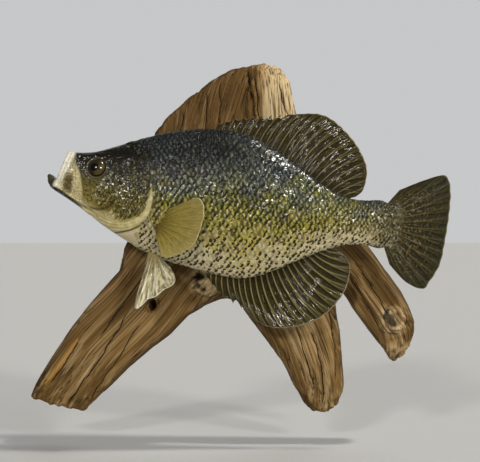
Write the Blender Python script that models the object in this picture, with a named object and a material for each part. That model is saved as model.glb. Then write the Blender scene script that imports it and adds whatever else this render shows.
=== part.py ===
"""A black crappie, mounted life size on a branched piece of driftwood that hangs on a wall.

World frame: +X runs toward the fish's tail, +Y goes into the wall and +Z is up. The origin lies on
the flat sawn back of the driftwood, which rests on the wall in the plane y = 0.
Fish frame: an empty at the snout carries every piece of the fish, with x from the snout to the tail,
y toward the wall and z toward the back, so the fish's left side faces -y.
The named sizes and the rib tables are in millimetres; the meshes are made in metres.
"""
import math

import bmesh
import bpy
from mathutils import Vector, noise
from mathutils.bvhtree import BVHTree

MM = 0.001
GAP = 0.3                       # clearance between touching pieces

# Pose of the fish on its mount
SNOUT_PLACE = (-180.5, -77.0, 30.3)
PITCH_DEGREES = 9.5
HEAD_BEND_START = 110.0         # in front of this x the head swings toward the viewer
HEAD_BEND = 0.00048
TAIL_BEND_START = 200.0         # behind this x the tail swings toward the viewer
TAIL_BEND = 0.00034

# Ribs of the fish: top x, top z, bottom x, bottom z, half width, fullness of the section
BODY_RIBS = (
    (15.8, 19.1, 6.8, -20.4, 11.0, 0.72),
    (24.0, 19.5, 22.0, -27.1, 12.8, 0.78),
    (33.4, 21.3, 36.8, -33.8, 15.0, 0.86),
    (42.7, 24.3, 51.0, -43.1, 17.2, 0.94),
    (56.2, 30.7, 69.0, -51.8, 20.3, 1.02),
    (69.7, 37.1, 85.8, -58.9, 22.8, 1.08),
    (87.8, 45.3, 104.3, -65.2, 24.8, 1.12),
    (110.7, 54.1, 128.5, -70.1, 25.8, 1.15),
    (134.0, 60.3, 156.3, -73.2, 25.8, 1.18),
    (157.8, 63.3, 183.9, -75.4, 25.0, 1.2),
    (182.5, 61.1, 206.7, -71.6, 23.2, 1.2),
    (208.3, 52.1, 227.3, -61.1, 20.6, 1.2),
    (234.8, 39.7, 249.3, -47.4, 17.2, 1.18),
    (261.4, 25.6, 268.7, -35.4, 13.6, 1.14),
    (282.0, 18.9, 286.8, -26.9, 10.6, 1.1),
    (298.6, 18.5, 305.6, -23.1, 8.2, 1.06),
    (315.7, 21.4, 321.3, -24.0, 6.2, 1.02),
    (323.8, 19.5, 328.7, -21.5, 4.4, 1.0),
)
JAW_RIBS = (
    (-0.8, -6.6, -0.4, -13.5, 3.0, 0.9),
    (2.6, -6.6, 2.8, -18.0, 6.5, 0.85),
    (7.0, -8.0, 7.6, -21.0, 9.6, 0.8),
    (14.0, -12.0, 14.0, -24.0, 11.2, 0.75),
    (22.0, -16.0, 22.3, -27.6, 12.0, 0.7),
    (33.0, -22.0, 33.0, -32.8, 12.8, 0.7),
    (43.0, -28.0, 43.6, -38.7, 13.0, 0.7),
)
MOUTH_RIBS = (
    (10.0, 24.0, 2.0, -9.0, 4.2, 0.8),
    (16.4, 16.6, 8.6, -16.4, 8.8, 0.8),
    (26.0, 14.5, 22.0, -22.5, 9.8, 0.8),
    (36.0, -2.0, 37.0, -25.5, 8.0, 0.9),
    (45.0, -9.0, 46.0, -22.0, 3.5, 1.0),
)
BODY_SIDES = 22
MOUTH_SIDES = 12
STEPS_PER_RIB = 2

# Borders between the pieces of the fish, seen from the side: x, z
GILL_EDGE = (
    (88.0, 42.0), (90.0, 32.0), (91.5, 23.5), (96.8, 14.6), (98.9, -0.6), (101.7, -11.8),
    (101.4, -24.5), (96.5, -35.5), (88.0, -43.3), (79.0, -47.7), (68.0, -51.0),
)
JAW_OUTLINE = (
    (-3.0, -5.5), (-3.0, -25.0), (30.0, -48.0), (47.0, -48.0), (46.0, -35.0), (35.0, -29.2),
    (21.6, -24.2), (8.2, -18.4), (7.0, -17.6), (3.2, -6.0),
)
UPPER_JAW_OUTLINE = (
    (-6.0, -22.0), (11.6, -22.0), (13.2, -12.0), (22.6, 18.0), (23.0, 30.0), (8.0, 30.0),
)
GILL_COVER_FRONT = (
    (62.0, -45.5), (58.0, -38.0), (62.5, -27.0), (65.0, -18.0), (66.0, -4.0), (65.0, 12.0), (78.0, 22.5),
)
TAIL_BORDER_X = 284.0
TAIL_BORDER_BULGE = 1.5
FRONT_X = -20.0                 # in front of the whole fish
REAR_X = 400.0                  # behind the whole fish
OUTER_REACH = 90.0              # how far a border's cutter runs past the body

EYE_PLACE = (43.3, 7.6)
EYE_RADIUS = 8.9
EYE_HALF_DEPTH = 5.0            # the eye is a thick lens, not a ball
EYE_PROUD = 3.0                 # how far the dome of the eye stands out of the cheek
GILL_COVER_THICKNESS = 2.6
GILL_COVER_X = 80.0             # the middle of the gill covers, seen from the side
GILL_COVER_KEEP_OUT = 2.0       # how far a cover stays from the middle line

# Fins: thickness of a web, and how far a ray stands to one side of the webs between the rays
FIN_THICKNESS = 0.9
RAY_RELIEF = 0.45
FIN_ROOT_DEPTH = 0.8            # how far a side fin's sheet starts under the skin
FIN_BOW = 0.07                  # how much the rays curve back, per length

DORSAL_BASE = (
    (148.5, 62.0), (172.0, 61.8), (194.8, 55.6), (213.6, 48.0), (234.8, 38.0), (256.2, 26.6), (286.0, 17.4),
)
DORSAL_EDGE = (
    (150.5, 68.5), (170.0, 77.5), (198.9, 85.3), (218.7, 89.1), (243.2, 93.7), (260.5, 89.2), (280.5, 74.6),
    (292.7, 60.1), (298.8, 46.5), (297.9, 28.8), (291.5, 20.5),
)
DORSAL_SPINES = 8
DORSAL_RAYS = 24

ANAL_BASE = ((162.0, -71.6), (183.9, -73.6), (204.8, -70.4), (222.8, -61.8), (249.3, -45.6), (274.0, -31.0))
ANAL_EDGE = (
    (163.5, -78.6), (172.3, -87.6), (182.4, -95.6), (202.2, -103.0), (219.4, -112.8), (236.0, -116.0),
    (259.8, -109.9), (277.5, -99.2), (289.6, -84.5), (297.3, -66.7), (297.8, -46.0), (289.0, -35.0),
    (279.5, -31.6),
)
ANAL_SPINES = 6
ANAL_RAYS = 24

CAUDAL_BASE = ((322.0, 18.6), (325.5, 8.0), (326.5, -2.0), (327.0, -12.0), (325.5, -20.6))
CAUDAL_EDGE = (
    (332.0, 34.2), (355.0, 48.1), (372.4, 54.9), (379.4, 43.0), (382.0, 20.0), (382.3, -8.0),
    (381.0, -30.0), (374.0, -48.0), (368.5, -55.7), (352.0, -51.6), (334.0, -37.6),
)
CAUDAL_RAYS = 19

PECTORAL_BASE = ((111.5, -26.0), (110.3, -35.0), (109.6, -43.0))
PECTORAL_EDGE = (
    (117.0, -21.6), (131.0, -12.4), (145.0, -5.6), (152.0, -15.0), (152.0, -30.0), (148.2, -47.8),
    (138.0, -58.4), (122.0, -66.0), (113.5, -55.0),
)
PECTORAL_RAYS = 13
PECTORAL_LEAN_LEFT = 0.42       # how fast the open fin leaves the flank, per length
PECTORAL_LEAN_RIGHT = 0.04

PELVIC_BASE = ((105.0, -64.2), (110.0, -65.6), (116.0, -67.0))
PELVIC_EDGE = (
    (103.6, -86.0), (101.3, -118.5), (113.6, -109.1), (126.4, -98.2), (134.6, -87.5), (127.5, -75.0),
)
PELVIC_RAYS = 7
PELVIC_SIDE = 5.0
PELVIC_LEAN = 0.28

# Driftwood ribs: edge x, edge z, other edge x, other edge z, depth from the wall to the front
WOOD_FULLNESS = 0.62            # below 1 a limb's section is boxy, and at 1 it is an ellipse
TOP_SLAB_RIBS = (
    (-89, 1, 60, 1, 38), (-89, 36, 62, 41, 36), (-86, 68, 57, 85, 31), (-74, 84, 54, 95, 29),
    (-60, 97, 52, 108, 27), (-42, 110, 49, 121, 26), (-28, 122, 44, 130, 25), (-12, 131, 37, 135, 22),
    (5, 134, 28, 138, 16),
)
TOP_RIDGE_RIBS = (
    (0, 20, 60, 20, 44), (3, 51, 62, 51, 43), (5, 82, 58, 84, 42), (6, 105, 53, 102, 40),
    (9, 121, 50, 119, 36), (15, 132, 40, 132, 28),
)
LEFT_LIMB_RIBS = (
    (-89, 1, 0, -83, 40), (-109, -31, -18, -98, 42), (-116, -46, -35, -105, 43), (-120, -69, -52, -114, 43),
    (-132, -82, -70, -133, 42), (-151, -103, -89, -147, 42), (-169, -128, -111, -166, 41),
    (-189, -158, -129, -186, 38), (-204, -183, -142, -198, 34), (-210, -196, -154, -210, 26),
)
MIDDLE_LIMB_RIBS = (
    (-25, -60, 94, -55, 40), (0, -103, 96, -106, 42), (22, -133, 100, -128, 43), (41, -159, 102, -160, 41),
    (51, -180, 104, -184, 37), (61, -197, 100, -199, 31), (73, -210, 89, -210, 22),
)
RIGHT_LIMB_RIBS = (
    (58, -54, 98, -4, 38), (101, -90, 129, -46, 40), (111, -106, 141, -63, 42), (129, -130, 160, -90, 44),
    (143, -148, 174, -120, 42), (149, -157, 171, -138, 35), (155, -160, 164, -150, 24),
)
HUB_RIBS = (
    (-104, -14, -99, -61, 36), (-75, 41, -75, -90, 41), (-30, 51, -30, -98, 42), (15, 51, 15, -98, 42),
    (60, 36, 60, -90, 41), (94, 1, 97, -83, 38), (111, -24, 109, -71, 30),
)
SADDLE_PLACE = (8.0, -12.0)     # the raised boss that the fish's far flank is bedded on
SADDLE_SIZE = (46.0, 17.0, 34.0)
SADDLE_DEPTH = 42.0
BURL_PLACE = (-33.0, -33.0, -78.0)
BURL_SIZE = (19.0, 19.0, 19.0)
LIMB_KNOT_PLACE = (152.0, -30.0, -118.0)
LIMB_KNOT_SIZE = (15.0, 19.0, 19.0)
KNOT_HOLE_PLACE = (-86.0, -46.0, -103.0)
KNOT_HOLE_SIZE = (5.5, 13.0, 8.0)
WOOD_SIDES = 12
WOOD_BACK_ALLOWANCE = 6.0       # wood sawn away to leave the flat back
WOOD_ROUGHNESS = 4.0            # depth of the broad ridges and hollows on the limbs
SAW_SIZE = (700.0, 200.0, 700.0)
SHARP_DEGREES = 50.0            # faces that meet more sharply than this keep a hard edge

# Steel hanger let into the flat back
HANGER_PLACE = (-6.0, 62.0)
HANGER_SIZE = (58.0, 1.6, 18.0)
HANGER_SINK = 0.4
SLOT_HEAD_RADIUS = 5.0
SLOT_NECK_RADIUS = 2.5
SLOT_RISE = 6.0
SLOT_POINT = 1.5
HOLE_OVERRUN = 1.0              # how far a hole's cutter runs past the steel
SCREW_SPACING = 44.0
SCREW_RADIUS = 1.8
SCREW_HEAD_RADIUS = 3.4
SCREW_LENGTH = 14.0
SCREW_HEAD_DEPTH = 1.4
NAIL_POCKET = (26.0, 9.0, 15.0)


def make_material(name, colour, roughness, metallic=0.0):
    """Return a Principled material with one colour."""
    material = bpy.data.materials.new(name)
    material.use_nodes = True
    shader = material.node_tree.nodes["Principled BSDF"]
    shader.inputs["Base Color"].default_value = (*colour, 1.0)
    shader.inputs["Roughness"].default_value = roughness
    shader.inputs["Metallic"].default_value = metallic
    return material


def make_object(name, shape, material=None, parent=None):
    """Turn a bmesh into a named object; without a material it is a hidden cutter."""
    bmesh.ops.recalc_face_normals(shape, faces=shape.faces)
    mesh = bpy.data.meshes.new(name)
    shape.to_mesh(mesh)
    shape.free()
    made = bpy.data.objects.new(name, mesh)
    bpy.context.scene.collection.objects.link(made)
    made.parent = parent
    if material is None:
        made.hide_render = True
        made.display_type = "WIRE"
    else:
        mesh.materials.append(material)
    return made


def use_boolean(target, tool, operation="DIFFERENCE"):
    """Cut, keep or join with an exact Boolean modifier."""
    modifier = target.modifiers.new(operation.title(), "BOOLEAN")
    modifier.operation = operation
    modifier.solver = "EXACT"
    modifier.object = tool


def middle_of_body(x):
    """How far the fish's middle line leans out of its flat plane at a place along it."""
    head = HEAD_BEND * max(0.0, HEAD_BEND_START - x) ** 2
    tail = TAIL_BEND * max(0.0, x - TAIL_BEND_START) ** 2
    return -head - tail


def smooth_rows(rows, steps):
    """Put steps - 1 more rows between each pair, on a Catmull-Rom curve through them all."""
    result = []
    for i in range(len(rows) - 1):
        before = rows[max(i - 1, 0)]
        start = rows[i]
        end = rows[i + 1]
        after = rows[min(i + 2, len(rows) - 1)]
        for k in range(steps):
            t = k / steps
            result.append(tuple(
                0.5 * (2 * b + (c - a) * t + (2 * a - 5 * b + 4 * c - d) * t * t
                       + (3 * b - a - 3 * c + d) * t ** 3)
                for a, b, c, d in zip(before, start, end, after)))
    result.append(tuple(rows[-1]))
    return result


def loft(rings):
    """Bridge a row of closed rings into one capped solid."""
    shape = bmesh.new()
    loops = [[shape.verts.new(Vector(point) * MM) for point in ring] for ring in rings]
    count = len(rings[0])
    for first, second in zip(loops, loops[1:]):
        for k in range(count):
            n = (k + 1) % count
            shape.faces.new((first[k], first[n], second[n], second[k]))
    shape.faces.new(loops[0])
    shape.faces.new(loops[-1])
    return shape


def body_rings(ribs, grow, sides):
    """Rings of a fish-shaped tube, made larger or smaller all round by grow."""
    rows = [list(rib) for rib in smooth_rows(ribs, STEPS_PER_RIB)]
    for row, shift in ((rows[0], -grow), (rows[-1], grow)):
        row[0] += shift
        row[2] += shift
    rings = []
    for top_x, top_z, bottom_x, bottom_z, half_width, fullness in rows:
        middle = Vector(((top_x + bottom_x) / 2, 0.0, (top_z + bottom_z) / 2))
        upward = Vector((top_x - bottom_x, 0.0, top_z - bottom_z)) / 2
        upward *= 1 + grow / upward.length
        ring = []
        for k in range(sides):
            angle = 2 * math.pi * k / sides
            point = middle + upward * math.cos(angle)
            side = math.copysign(abs(math.sin(angle)) ** fullness, math.sin(angle))
            point.y = middle_of_body(point.x) + (half_width + grow) * side
            ring.append(point)
        rings.append(ring)
    return rings


def body_shape(grow=0.0):
    return loft(body_rings(BODY_RIBS, grow, BODY_SIDES))


def prism(outline, front, back):
    """A slab with an outline drawn in x and z, running from y = front to y = back."""
    shape = bmesh.new()
    near = [shape.verts.new(Vector((x, front, z)) * MM) for x, z in outline]
    face = shape.faces.new(near)
    grown = bmesh.ops.extrude_face_region(shape, geom=[face])
    far = [item for item in grown["geom"] if isinstance(item, bmesh.types.BMVert)]
    bmesh.ops.translate(shape, verts=far, vec=Vector((0.0, back - front, 0.0)) * MM)
    return shape


def widen_outline(outline, distance):
    """Move every side of a closed outline outward by a distance."""
    count = len(outline)
    area = sum(outline[k - 1][0] * outline[k][1] - outline[k][0] * outline[k - 1][1] for k in range(count))
    turn = math.copysign(1.0, area)
    result = []
    for k in range(count):
        corner = Vector(outline[k])
        entering = (corner - Vector(outline[k - 1])).normalized()
        leaving = (Vector(outline[(k + 1) % count]) - corner).normalized()
        normal_in = Vector((entering.y, -entering.x)) * turn
        normal_out = Vector((leaving.y, -leaving.x)) * turn
        mitre = (normal_in + normal_out).normalized()
        result.append(tuple(corner + mitre * distance / max(mitre.dot(normal_in), 0.5)))
    return result


def ellipsoid(centre, radii, segments=14, rings=8):
    shape = bmesh.new()
    bmesh.ops.create_uvsphere(shape, u_segments=segments, v_segments=rings, radius=1.0)
    bmesh.ops.scale(shape, verts=shape.verts, vec=Vector(radii) * MM)
    bmesh.ops.translate(shape, verts=shape.verts, vec=Vector(centre) * MM)
    return shape


def box(centre, size):
    shape = bmesh.new()
    bmesh.ops.create_cube(shape, size=1.0)
    bmesh.ops.scale(shape, verts=shape.verts, vec=Vector(size) * MM)
    bmesh.ops.translate(shape, verts=shape.verts, vec=Vector(centre) * MM)
    return shape


def rod(centre, radius, front, back, segments=12):
    """A round rod along y."""
    outline = []
    for k in range(segments):
        angle = 2 * math.pi * k / segments
        outline.append((centre[0] + radius * math.cos(angle), centre[1] + radius * math.sin(angle)))
    return prism(outline, front, back)


def places_along(points, fractions):
    """Points at fractions of the length of a smooth curve."""
    curve = [Vector(point) for point in smooth_rows(points, 8)]
    lengths = [0.0]
    for start, end in zip(curve, curve[1:]):
        lengths.append(lengths[-1] + (end - start).length)
    result = []
    for fraction in fractions:
        wanted = fraction * lengths[-1]
        k = 1
        while k < len(curve) - 1 and lengths[k] < wanted:
            k += 1
        share = (wanted - lengths[k - 1]) / (lengths[k] - lengths[k - 1])
        result.append(curve[k - 1].lerp(curve[k], share))
    return result


def fin_shape(base, edge, rays, place, spines=0, bow=0.0, steps=2, web=0.97, spine_web=0.8):
    """A pleated fin: rays and webs in turn, from its base line out to its edge.

    place turns a side-view point and its distance from the base into a point in the fish frame.
    """
    columns = 2 * rays - 1
    fractions = [k / (columns - 1) for k in range(columns)]
    roots = places_along(base, fractions)
    tips = places_along(edge, fractions)
    shape = bmesh.new()
    grid = []
    for k, (root, tip) in enumerate(zip(roots, tips)):
        is_web = k % 2 == 1
        reach = 1.0
        if is_web:
            reach = spine_web if k < 2 * spines else web
        span = (tip - root) * reach
        across = Vector((-span.y, span.x)) * bow
        relief = RAY_RELIEF if is_web else -RAY_RELIEF
        column = []
        for step in range(steps + 1):
            t = step / steps
            spot = root + span * t + across * 4 * t * (1 - t)
            point = place(spot, (spot - root).length)
            point.y += relief * min(1.0, 2 * t)
            column.append(shape.verts.new(point * MM))
        grid.append(column)
    for first, second in zip(grid, grid[1:]):
        for step in range(steps):
            shape.faces.new((first[step], second[step], second[step + 1], first[step + 1]))
    return shape


def make_fin(name, shape, material, parent, body_cutter):
    """Give a fin sheet its thickness and trim its root to the body."""
    fin = make_object(name, shape, material, parent)
    solid = fin.modifiers.new("Thickness", "SOLIDIFY")
    solid.thickness = FIN_THICKNESS * MM
    solid.offset = 0.0
    use_boolean(fin, body_cutter)
    return fin


def flank(tree, x, z, side):
    """The point on the left (side -1) or right (side 1) flank at a side-view place, and its normal."""
    start = Vector((x, side * OUTER_REACH, z)) * MM
    hit, normal = tree.ray_cast(start, Vector((0.0, -side, 0.0)))[:2]
    if normal.y * side < 0:
        normal.negate()
    return hit / MM, normal


def limb_rings(ribs, seed, steps):
    """Rings of a weathered limb, each from one edge of its outline to the other."""
    rings = []
    for number, row in enumerate(smooth_rows(ribs, steps)):
        first = Vector((row[0], 0.0, row[1]))
        second = Vector((row[2], 0.0, row[3]))
        half_depth = (row[4] + WOOD_BACK_ALLOWANCE) / 2
        middle = (first + second) / 2
        middle.y = WOOD_BACK_ALLOWANCE - half_depth
        half_span = (first - second) / 2
        ring = []
        for k in range(WOOD_SIDES):
            angle = 2 * math.pi * k / WOOD_SIDES
            across = math.copysign(abs(math.cos(angle)) ** WOOD_FULLNESS, math.cos(angle))
            depth = math.copysign(abs(math.sin(angle)) ** WOOD_FULLNESS, math.sin(angle))
            ridges = noise.noise(Vector((3 * across, 3 * depth, 0.5 * number / steps + seed)))
            depth_size = half_depth + WOOD_ROUGHNESS * ridges
            ring.append(middle + half_span * across - Vector((0.0, depth_size * depth, 0.0)))
        rings.append(ring)
    return rings


def join_limbs(material):
    """Unite the hub, the slab, the limbs and the burls into the one piece of driftwood."""
    wood = make_object("driftwood", loft(limb_rings(HUB_RIBS, 1.5, 1)), material)
    limbs = (
        ("top_slab", TOP_SLAB_RIBS, 1), ("top_ridge", TOP_RIDGE_RIBS, 2), ("left_limb", LEFT_LIMB_RIBS, 1),
        ("middle_limb", MIDDLE_LIMB_RIBS, 2), ("right_limb", RIGHT_LIMB_RIBS, 2),
    )
    for number, (name, ribs, steps) in enumerate(limbs):
        limb = make_object(name, loft(limb_rings(ribs, 7.3 * number, steps)))
        use_boolean(wood, limb, "UNION")
    saddle_centre = (SADDLE_PLACE[0], -SADDLE_DEPTH, SADDLE_PLACE[1])
    lumps = (
        ("saddle", saddle_centre, SADDLE_SIZE), ("burl", BURL_PLACE, BURL_SIZE),
        ("limb_knot", LIMB_KNOT_PLACE, LIMB_KNOT_SIZE),
    )
    for name, centre, radii in lumps:
        use_boolean(wood, make_object(name, ellipsoid(centre, radii, segments=12, rings=7)), "UNION")
    hole = ellipsoid(KNOT_HOLE_PLACE, KNOT_HOLE_SIZE, segments=10, rings=6)
    use_boolean(wood, make_object("knot_hole", hole))
    return wood


def make_fish(parent, colours):
    """Part the body into head, jaws, gill covers, trunk and tail, and add eyes and fins."""
    body_trim = make_object("body_trim", body_shape(GAP), parent=parent)
    mouth = make_object("mouth_space", loft(body_rings(MOUTH_RIBS, 0.0, MOUTH_SIDES)), parent=parent)

    head_outline = (
        (88.0, OUTER_REACH), *GILL_EDGE, (64.0, -OUTER_REACH),
        (FRONT_X, -OUTER_REACH), (FRONT_X, OUTER_REACH),
    )
    tail_outline = (
        (TAIL_BORDER_X, OUTER_REACH), (TAIL_BORDER_X + TAIL_BORDER_BULGE, 0.0), (TAIL_BORDER_X, -OUTER_REACH),
        (REAR_X, -OUTER_REACH), (REAR_X, OUTER_REACH),
    )
    gill_outline = (*GILL_COVER_FRONT, *GILL_EDGE[2:])

    def border(name, outline, widen, front=-OUTER_REACH, back=OUTER_REACH):
        return make_object(name, prism(widen_outline(outline, widen), front, back), parent=parent)

    head_region = border("head_region", head_outline, 0.0)
    head_trim = border("head_trim", head_outline, GAP)
    tail_region = border("tail_region", tail_outline, 0.0)
    tail_trim = border("tail_trim", tail_outline, GAP)
    jaw_region = border("jaw_region", JAW_OUTLINE, 0.0)
    jaw_trim = border("jaw_trim", JAW_OUTLINE, GAP)
    lip_region = border("lip_region", UPPER_JAW_OUTLINE, 0.0)
    lip_trim = border("lip_trim", UPPER_JAW_OUTLINE, GAP)

    trunk = make_object("trunk", body_shape(), colours["flank"], parent)
    use_boolean(trunk, head_trim)
    use_boolean(trunk, tail_trim)
    tail = make_object("tail", body_shape(), colours["flank"], parent)
    use_boolean(tail, tail_region, "INTERSECT")

    head = make_object("head", body_shape(), colours["head"], parent)
    use_boolean(head, head_region, "INTERSECT")
    use_boolean(head, lip_trim)
    use_boolean(head, jaw_trim)
    use_boolean(head, mouth)

    upper_jaw = make_object("upper_jaw", body_shape(), colours["lip"], parent)
    use_boolean(upper_jaw, lip_region, "INTERSECT")
    use_boolean(upper_jaw, jaw_trim)
    use_boolean(upper_jaw, mouth)
    lower_jaw = make_object("lower_jaw", loft(body_rings(JAW_RIBS, 0.0, MOUTH_SIDES)), colours["lip"], parent)
    use_boolean(lower_jaw, jaw_region, "INTERSECT")
    use_boolean(lower_jaw, mouth)

    shape = body_shape()
    tree = BVHTree.FromBMesh(shape)
    shape.free()
    plate_core = make_object("plate_core", body_shape(-GILL_COVER_THICKNESS), parent=parent)
    pocket_core = make_object("pocket_core", body_shape(-GILL_COVER_THICKNESS - GAP), parent=parent)
    for side_name, side in (("left", -1), ("right", 1)):
        inner = side * GILL_COVER_KEEP_OUT + middle_of_body(GILL_COVER_X)
        reach = sorted((inner, side * OUTER_REACH))
        plate_region = border("plate_region_" + side_name, gill_outline, 0.0, *reach)
        plate = make_object("gill_cover_" + side_name, body_shape(), colours["head"], parent)
        use_boolean(plate, plate_region, "INTERSECT")
        use_boolean(plate, plate_core)
        pocket = border("pocket_" + side_name, gill_outline, GAP, *reach)
        use_boolean(pocket, pocket_core)
        use_boolean(head, pocket)

        cheek, normal = flank(tree, *EYE_PLACE, side)
        lenses = (("eye_", 0.0, colours["eye"]), ("socket_", GAP, None))
        for name, widen, material in lenses:
            radii = (EYE_RADIUS + widen, EYE_HALF_DEPTH + widen, EYE_RADIUS + widen)
            lens = make_object(name + side_name, ellipsoid((0.0, 0.0, 0.0), radii), material, parent)
            lens.location = (cheek - normal * (EYE_HALF_DEPTH - EYE_PROUD)) * MM
            lens.rotation_euler = normal.to_track_quat("Y", "Z").to_euler()
        use_boolean(head, lens)

        make_pectoral_fin(side_name, side, tree, colours["amber"], parent, body_trim)
        make_pelvic_fin(side_name, side, colours["pale"], parent, body_trim)

    make_middle_fins(colours["fin"], parent, body_trim)
    return body_trim


def make_middle_fins(material, parent, body_trim):
    """The three fins that stand on the fish's middle line."""
    def on_middle(spot, distance):
        return Vector((spot.x, middle_of_body(spot.x), spot.y))

    dorsal = fin_shape(DORSAL_BASE, DORSAL_EDGE, DORSAL_RAYS, on_middle, DORSAL_SPINES, bow=FIN_BOW)
    make_fin("dorsal_fin", dorsal, material, parent, body_trim)
    anal = fin_shape(ANAL_BASE, ANAL_EDGE, ANAL_RAYS, on_middle, ANAL_SPINES, bow=-FIN_BOW)
    make_fin("anal_fin", anal, material, parent, body_trim)
    caudal = fin_shape(CAUDAL_BASE, CAUDAL_EDGE, CAUDAL_RAYS, on_middle)
    make_fin("caudal_fin", caudal, material, parent, body_trim)


def make_pectoral_fin(side_name, side, tree, material, parent, body_trim):
    """A fan behind the gill cover; the left one is open and the right one lies close to the flank."""
    lean = PECTORAL_LEAN_LEFT if side < 0 else PECTORAL_LEAN_RIGHT
    root_y = flank(tree, *PECTORAL_BASE[1], side)[0].y - side * FIN_ROOT_DEPTH

    def on_flank(spot, distance):
        return Vector((spot.x, root_y + side * (lean * distance), spot.y))

    fan = fin_shape(PECTORAL_BASE, PECTORAL_EDGE, PECTORAL_RAYS, on_flank, steps=3)
    make_fin("pectoral_fin_" + side_name, fan, material, parent, body_trim)


def make_pelvic_fin(side_name, side, material, parent, body_trim):
    """A narrow fan under the breast, leaning outward."""
    root_y = side * PELVIC_SIDE + middle_of_body(PELVIC_BASE[1][0])

    def under_breast(spot, distance):
        return Vector((spot.x, root_y + side * PELVIC_LEAN * distance, spot.y))

    fan = fin_shape(PELVIC_BASE, PELVIC_EDGE, PELVIC_RAYS, under_breast)
    make_fin("pelvic_fin_" + side_name, fan, material, parent, body_trim)


def make_hanger(wood, steel):
    """A keyhole plate and its two screws, let into the flat back below its surface."""
    x, z = HANGER_PLACE
    width, thickness, height = HANGER_SIZE
    front = -HANGER_SINK - thickness
    pocket_size = (width + 2 * GAP, 2 * (thickness + HANGER_SINK + GAP), height + 2 * GAP)
    use_boolean(wood, make_object("hanger_pocket", box((x, 0.0, z), pocket_size)))
    nail_size = (NAIL_POCKET[0], 2 * NAIL_POCKET[1], NAIL_POCKET[2])
    use_boolean(wood, make_object("nail_pocket", box((x, 0.0, z), nail_size)))

    plate = make_object("hanger", box((x, front + thickness / 2, z), HANGER_SIZE), steel)
    hole_front = front - HOLE_OVERRUN
    slot_head = rod((x, z - SLOT_RISE / 2), SLOT_HEAD_RADIUS, hole_front, HOLE_OVERRUN)
    neck = (
        (x - SLOT_NECK_RADIUS, z - SLOT_RISE / 2), (x + SLOT_NECK_RADIUS, z - SLOT_RISE / 2),
        (x + SLOT_NECK_RADIUS, z + SLOT_RISE), (x, z + SLOT_RISE + SLOT_POINT),
        (x - SLOT_NECK_RADIUS, z + SLOT_RISE),
    )
    use_boolean(plate, make_object("slot_head", slot_head))
    use_boolean(plate, make_object("slot_neck", prism(neck, hole_front, HOLE_OVERRUN)))
    head_front = -HANGER_SINK - SCREW_HEAD_DEPTH / 2
    for number, side in enumerate((-1, 1), start=1):
        place = (x + side * SCREW_SPACING / 2, z)
        shank_hole = rod(place, SCREW_RADIUS + GAP, -SCREW_LENGTH - GAP, HOLE_OVERRUN)
        shank_hole = make_object(f"screw_hole_{number}", shank_hole)
        use_boolean(plate, shank_hole)
        use_boolean(wood, shank_hole)
        head_seat = rod(place, SCREW_HEAD_RADIUS + GAP, head_front - GAP, HOLE_OVERRUN)
        use_boolean(plate, make_object(f"screw_seat_{number}", head_seat))
        shank = rod(place, SCREW_RADIUS, -SCREW_LENGTH, head_front)
        screw = make_object(f"hanger_screw_{number}", shank, steel)
        head = rod(place, SCREW_HEAD_RADIUS, head_front, -HANGER_SINK / 2)
        use_boolean(screw, make_object(f"screw_head_{number}", head), "UNION")


def main():
    for old in list(bpy.data.objects):
        bpy.data.objects.remove(old, do_unlink=True)
    colours = {
        "flank": make_material("flank_skin", (0.16, 0.17, 0.10), 0.25),
        "head": make_material("head_skin", (0.20, 0.17, 0.09), 0.25),
        "lip": make_material("lip_skin", (0.45, 0.40, 0.28), 0.3),
        "eye": make_material("eye_glass", (0.03, 0.02, 0.01), 0.05),
        "fin": make_material("dark_fin", (0.09, 0.08, 0.04), 0.3),
        "amber": make_material("amber_fin", (0.42, 0.33, 0.10), 0.3),
        "pale": make_material("pale_fin", (0.65, 0.62, 0.48), 0.3),
    }
    fish_frame = bpy.data.objects.new("fish_frame", None)
    bpy.context.scene.collection.objects.link(fish_frame)
    fish_frame.location = Vector(SNOUT_PLACE) * MM
    fish_frame.rotation_euler = (0.0, math.radians(PITCH_DEGREES), 0.0)
    body_trim = make_fish(fish_frame, colours)

    wood = join_limbs(make_material("weathered_wood", (0.42, 0.31, 0.19), 0.8))
    use_boolean(wood, body_trim)
    saw = make_object("back_saw", box((0.0, SAW_SIZE[1] / 2, 0.0), SAW_SIZE))
    use_boolean(wood, saw)
    make_hanger(wood, make_material("zinc_steel", (0.55, 0.55, 0.53), 0.35, 1.0))
    for made in bpy.data.objects:
        if made.type == "MESH" and not made.hide_render and made.name != "hanger":
            made.data.shade_smooth()
            made.data.set_sharp_from_angle(angle=math.radians(SHARP_DEGREES))


main()
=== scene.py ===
# %% [markdown]
# # A mounted black crappie on driftwood
# This script dresses a finished solid model as a taxidermist would: a painted skin, real lapped
# scales, rayed fins, glass eyes and a weathered piece of driftwood. The solid model is loaded first
# and is never moved. Every new piece is placed in its frame, in metres, with +Z up.

# %% Load the solid model
import math
from functools import partial

import bmesh
import bpy
import numpy as np
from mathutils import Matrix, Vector
from mathutils.bvhtree import BVHTree


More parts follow.
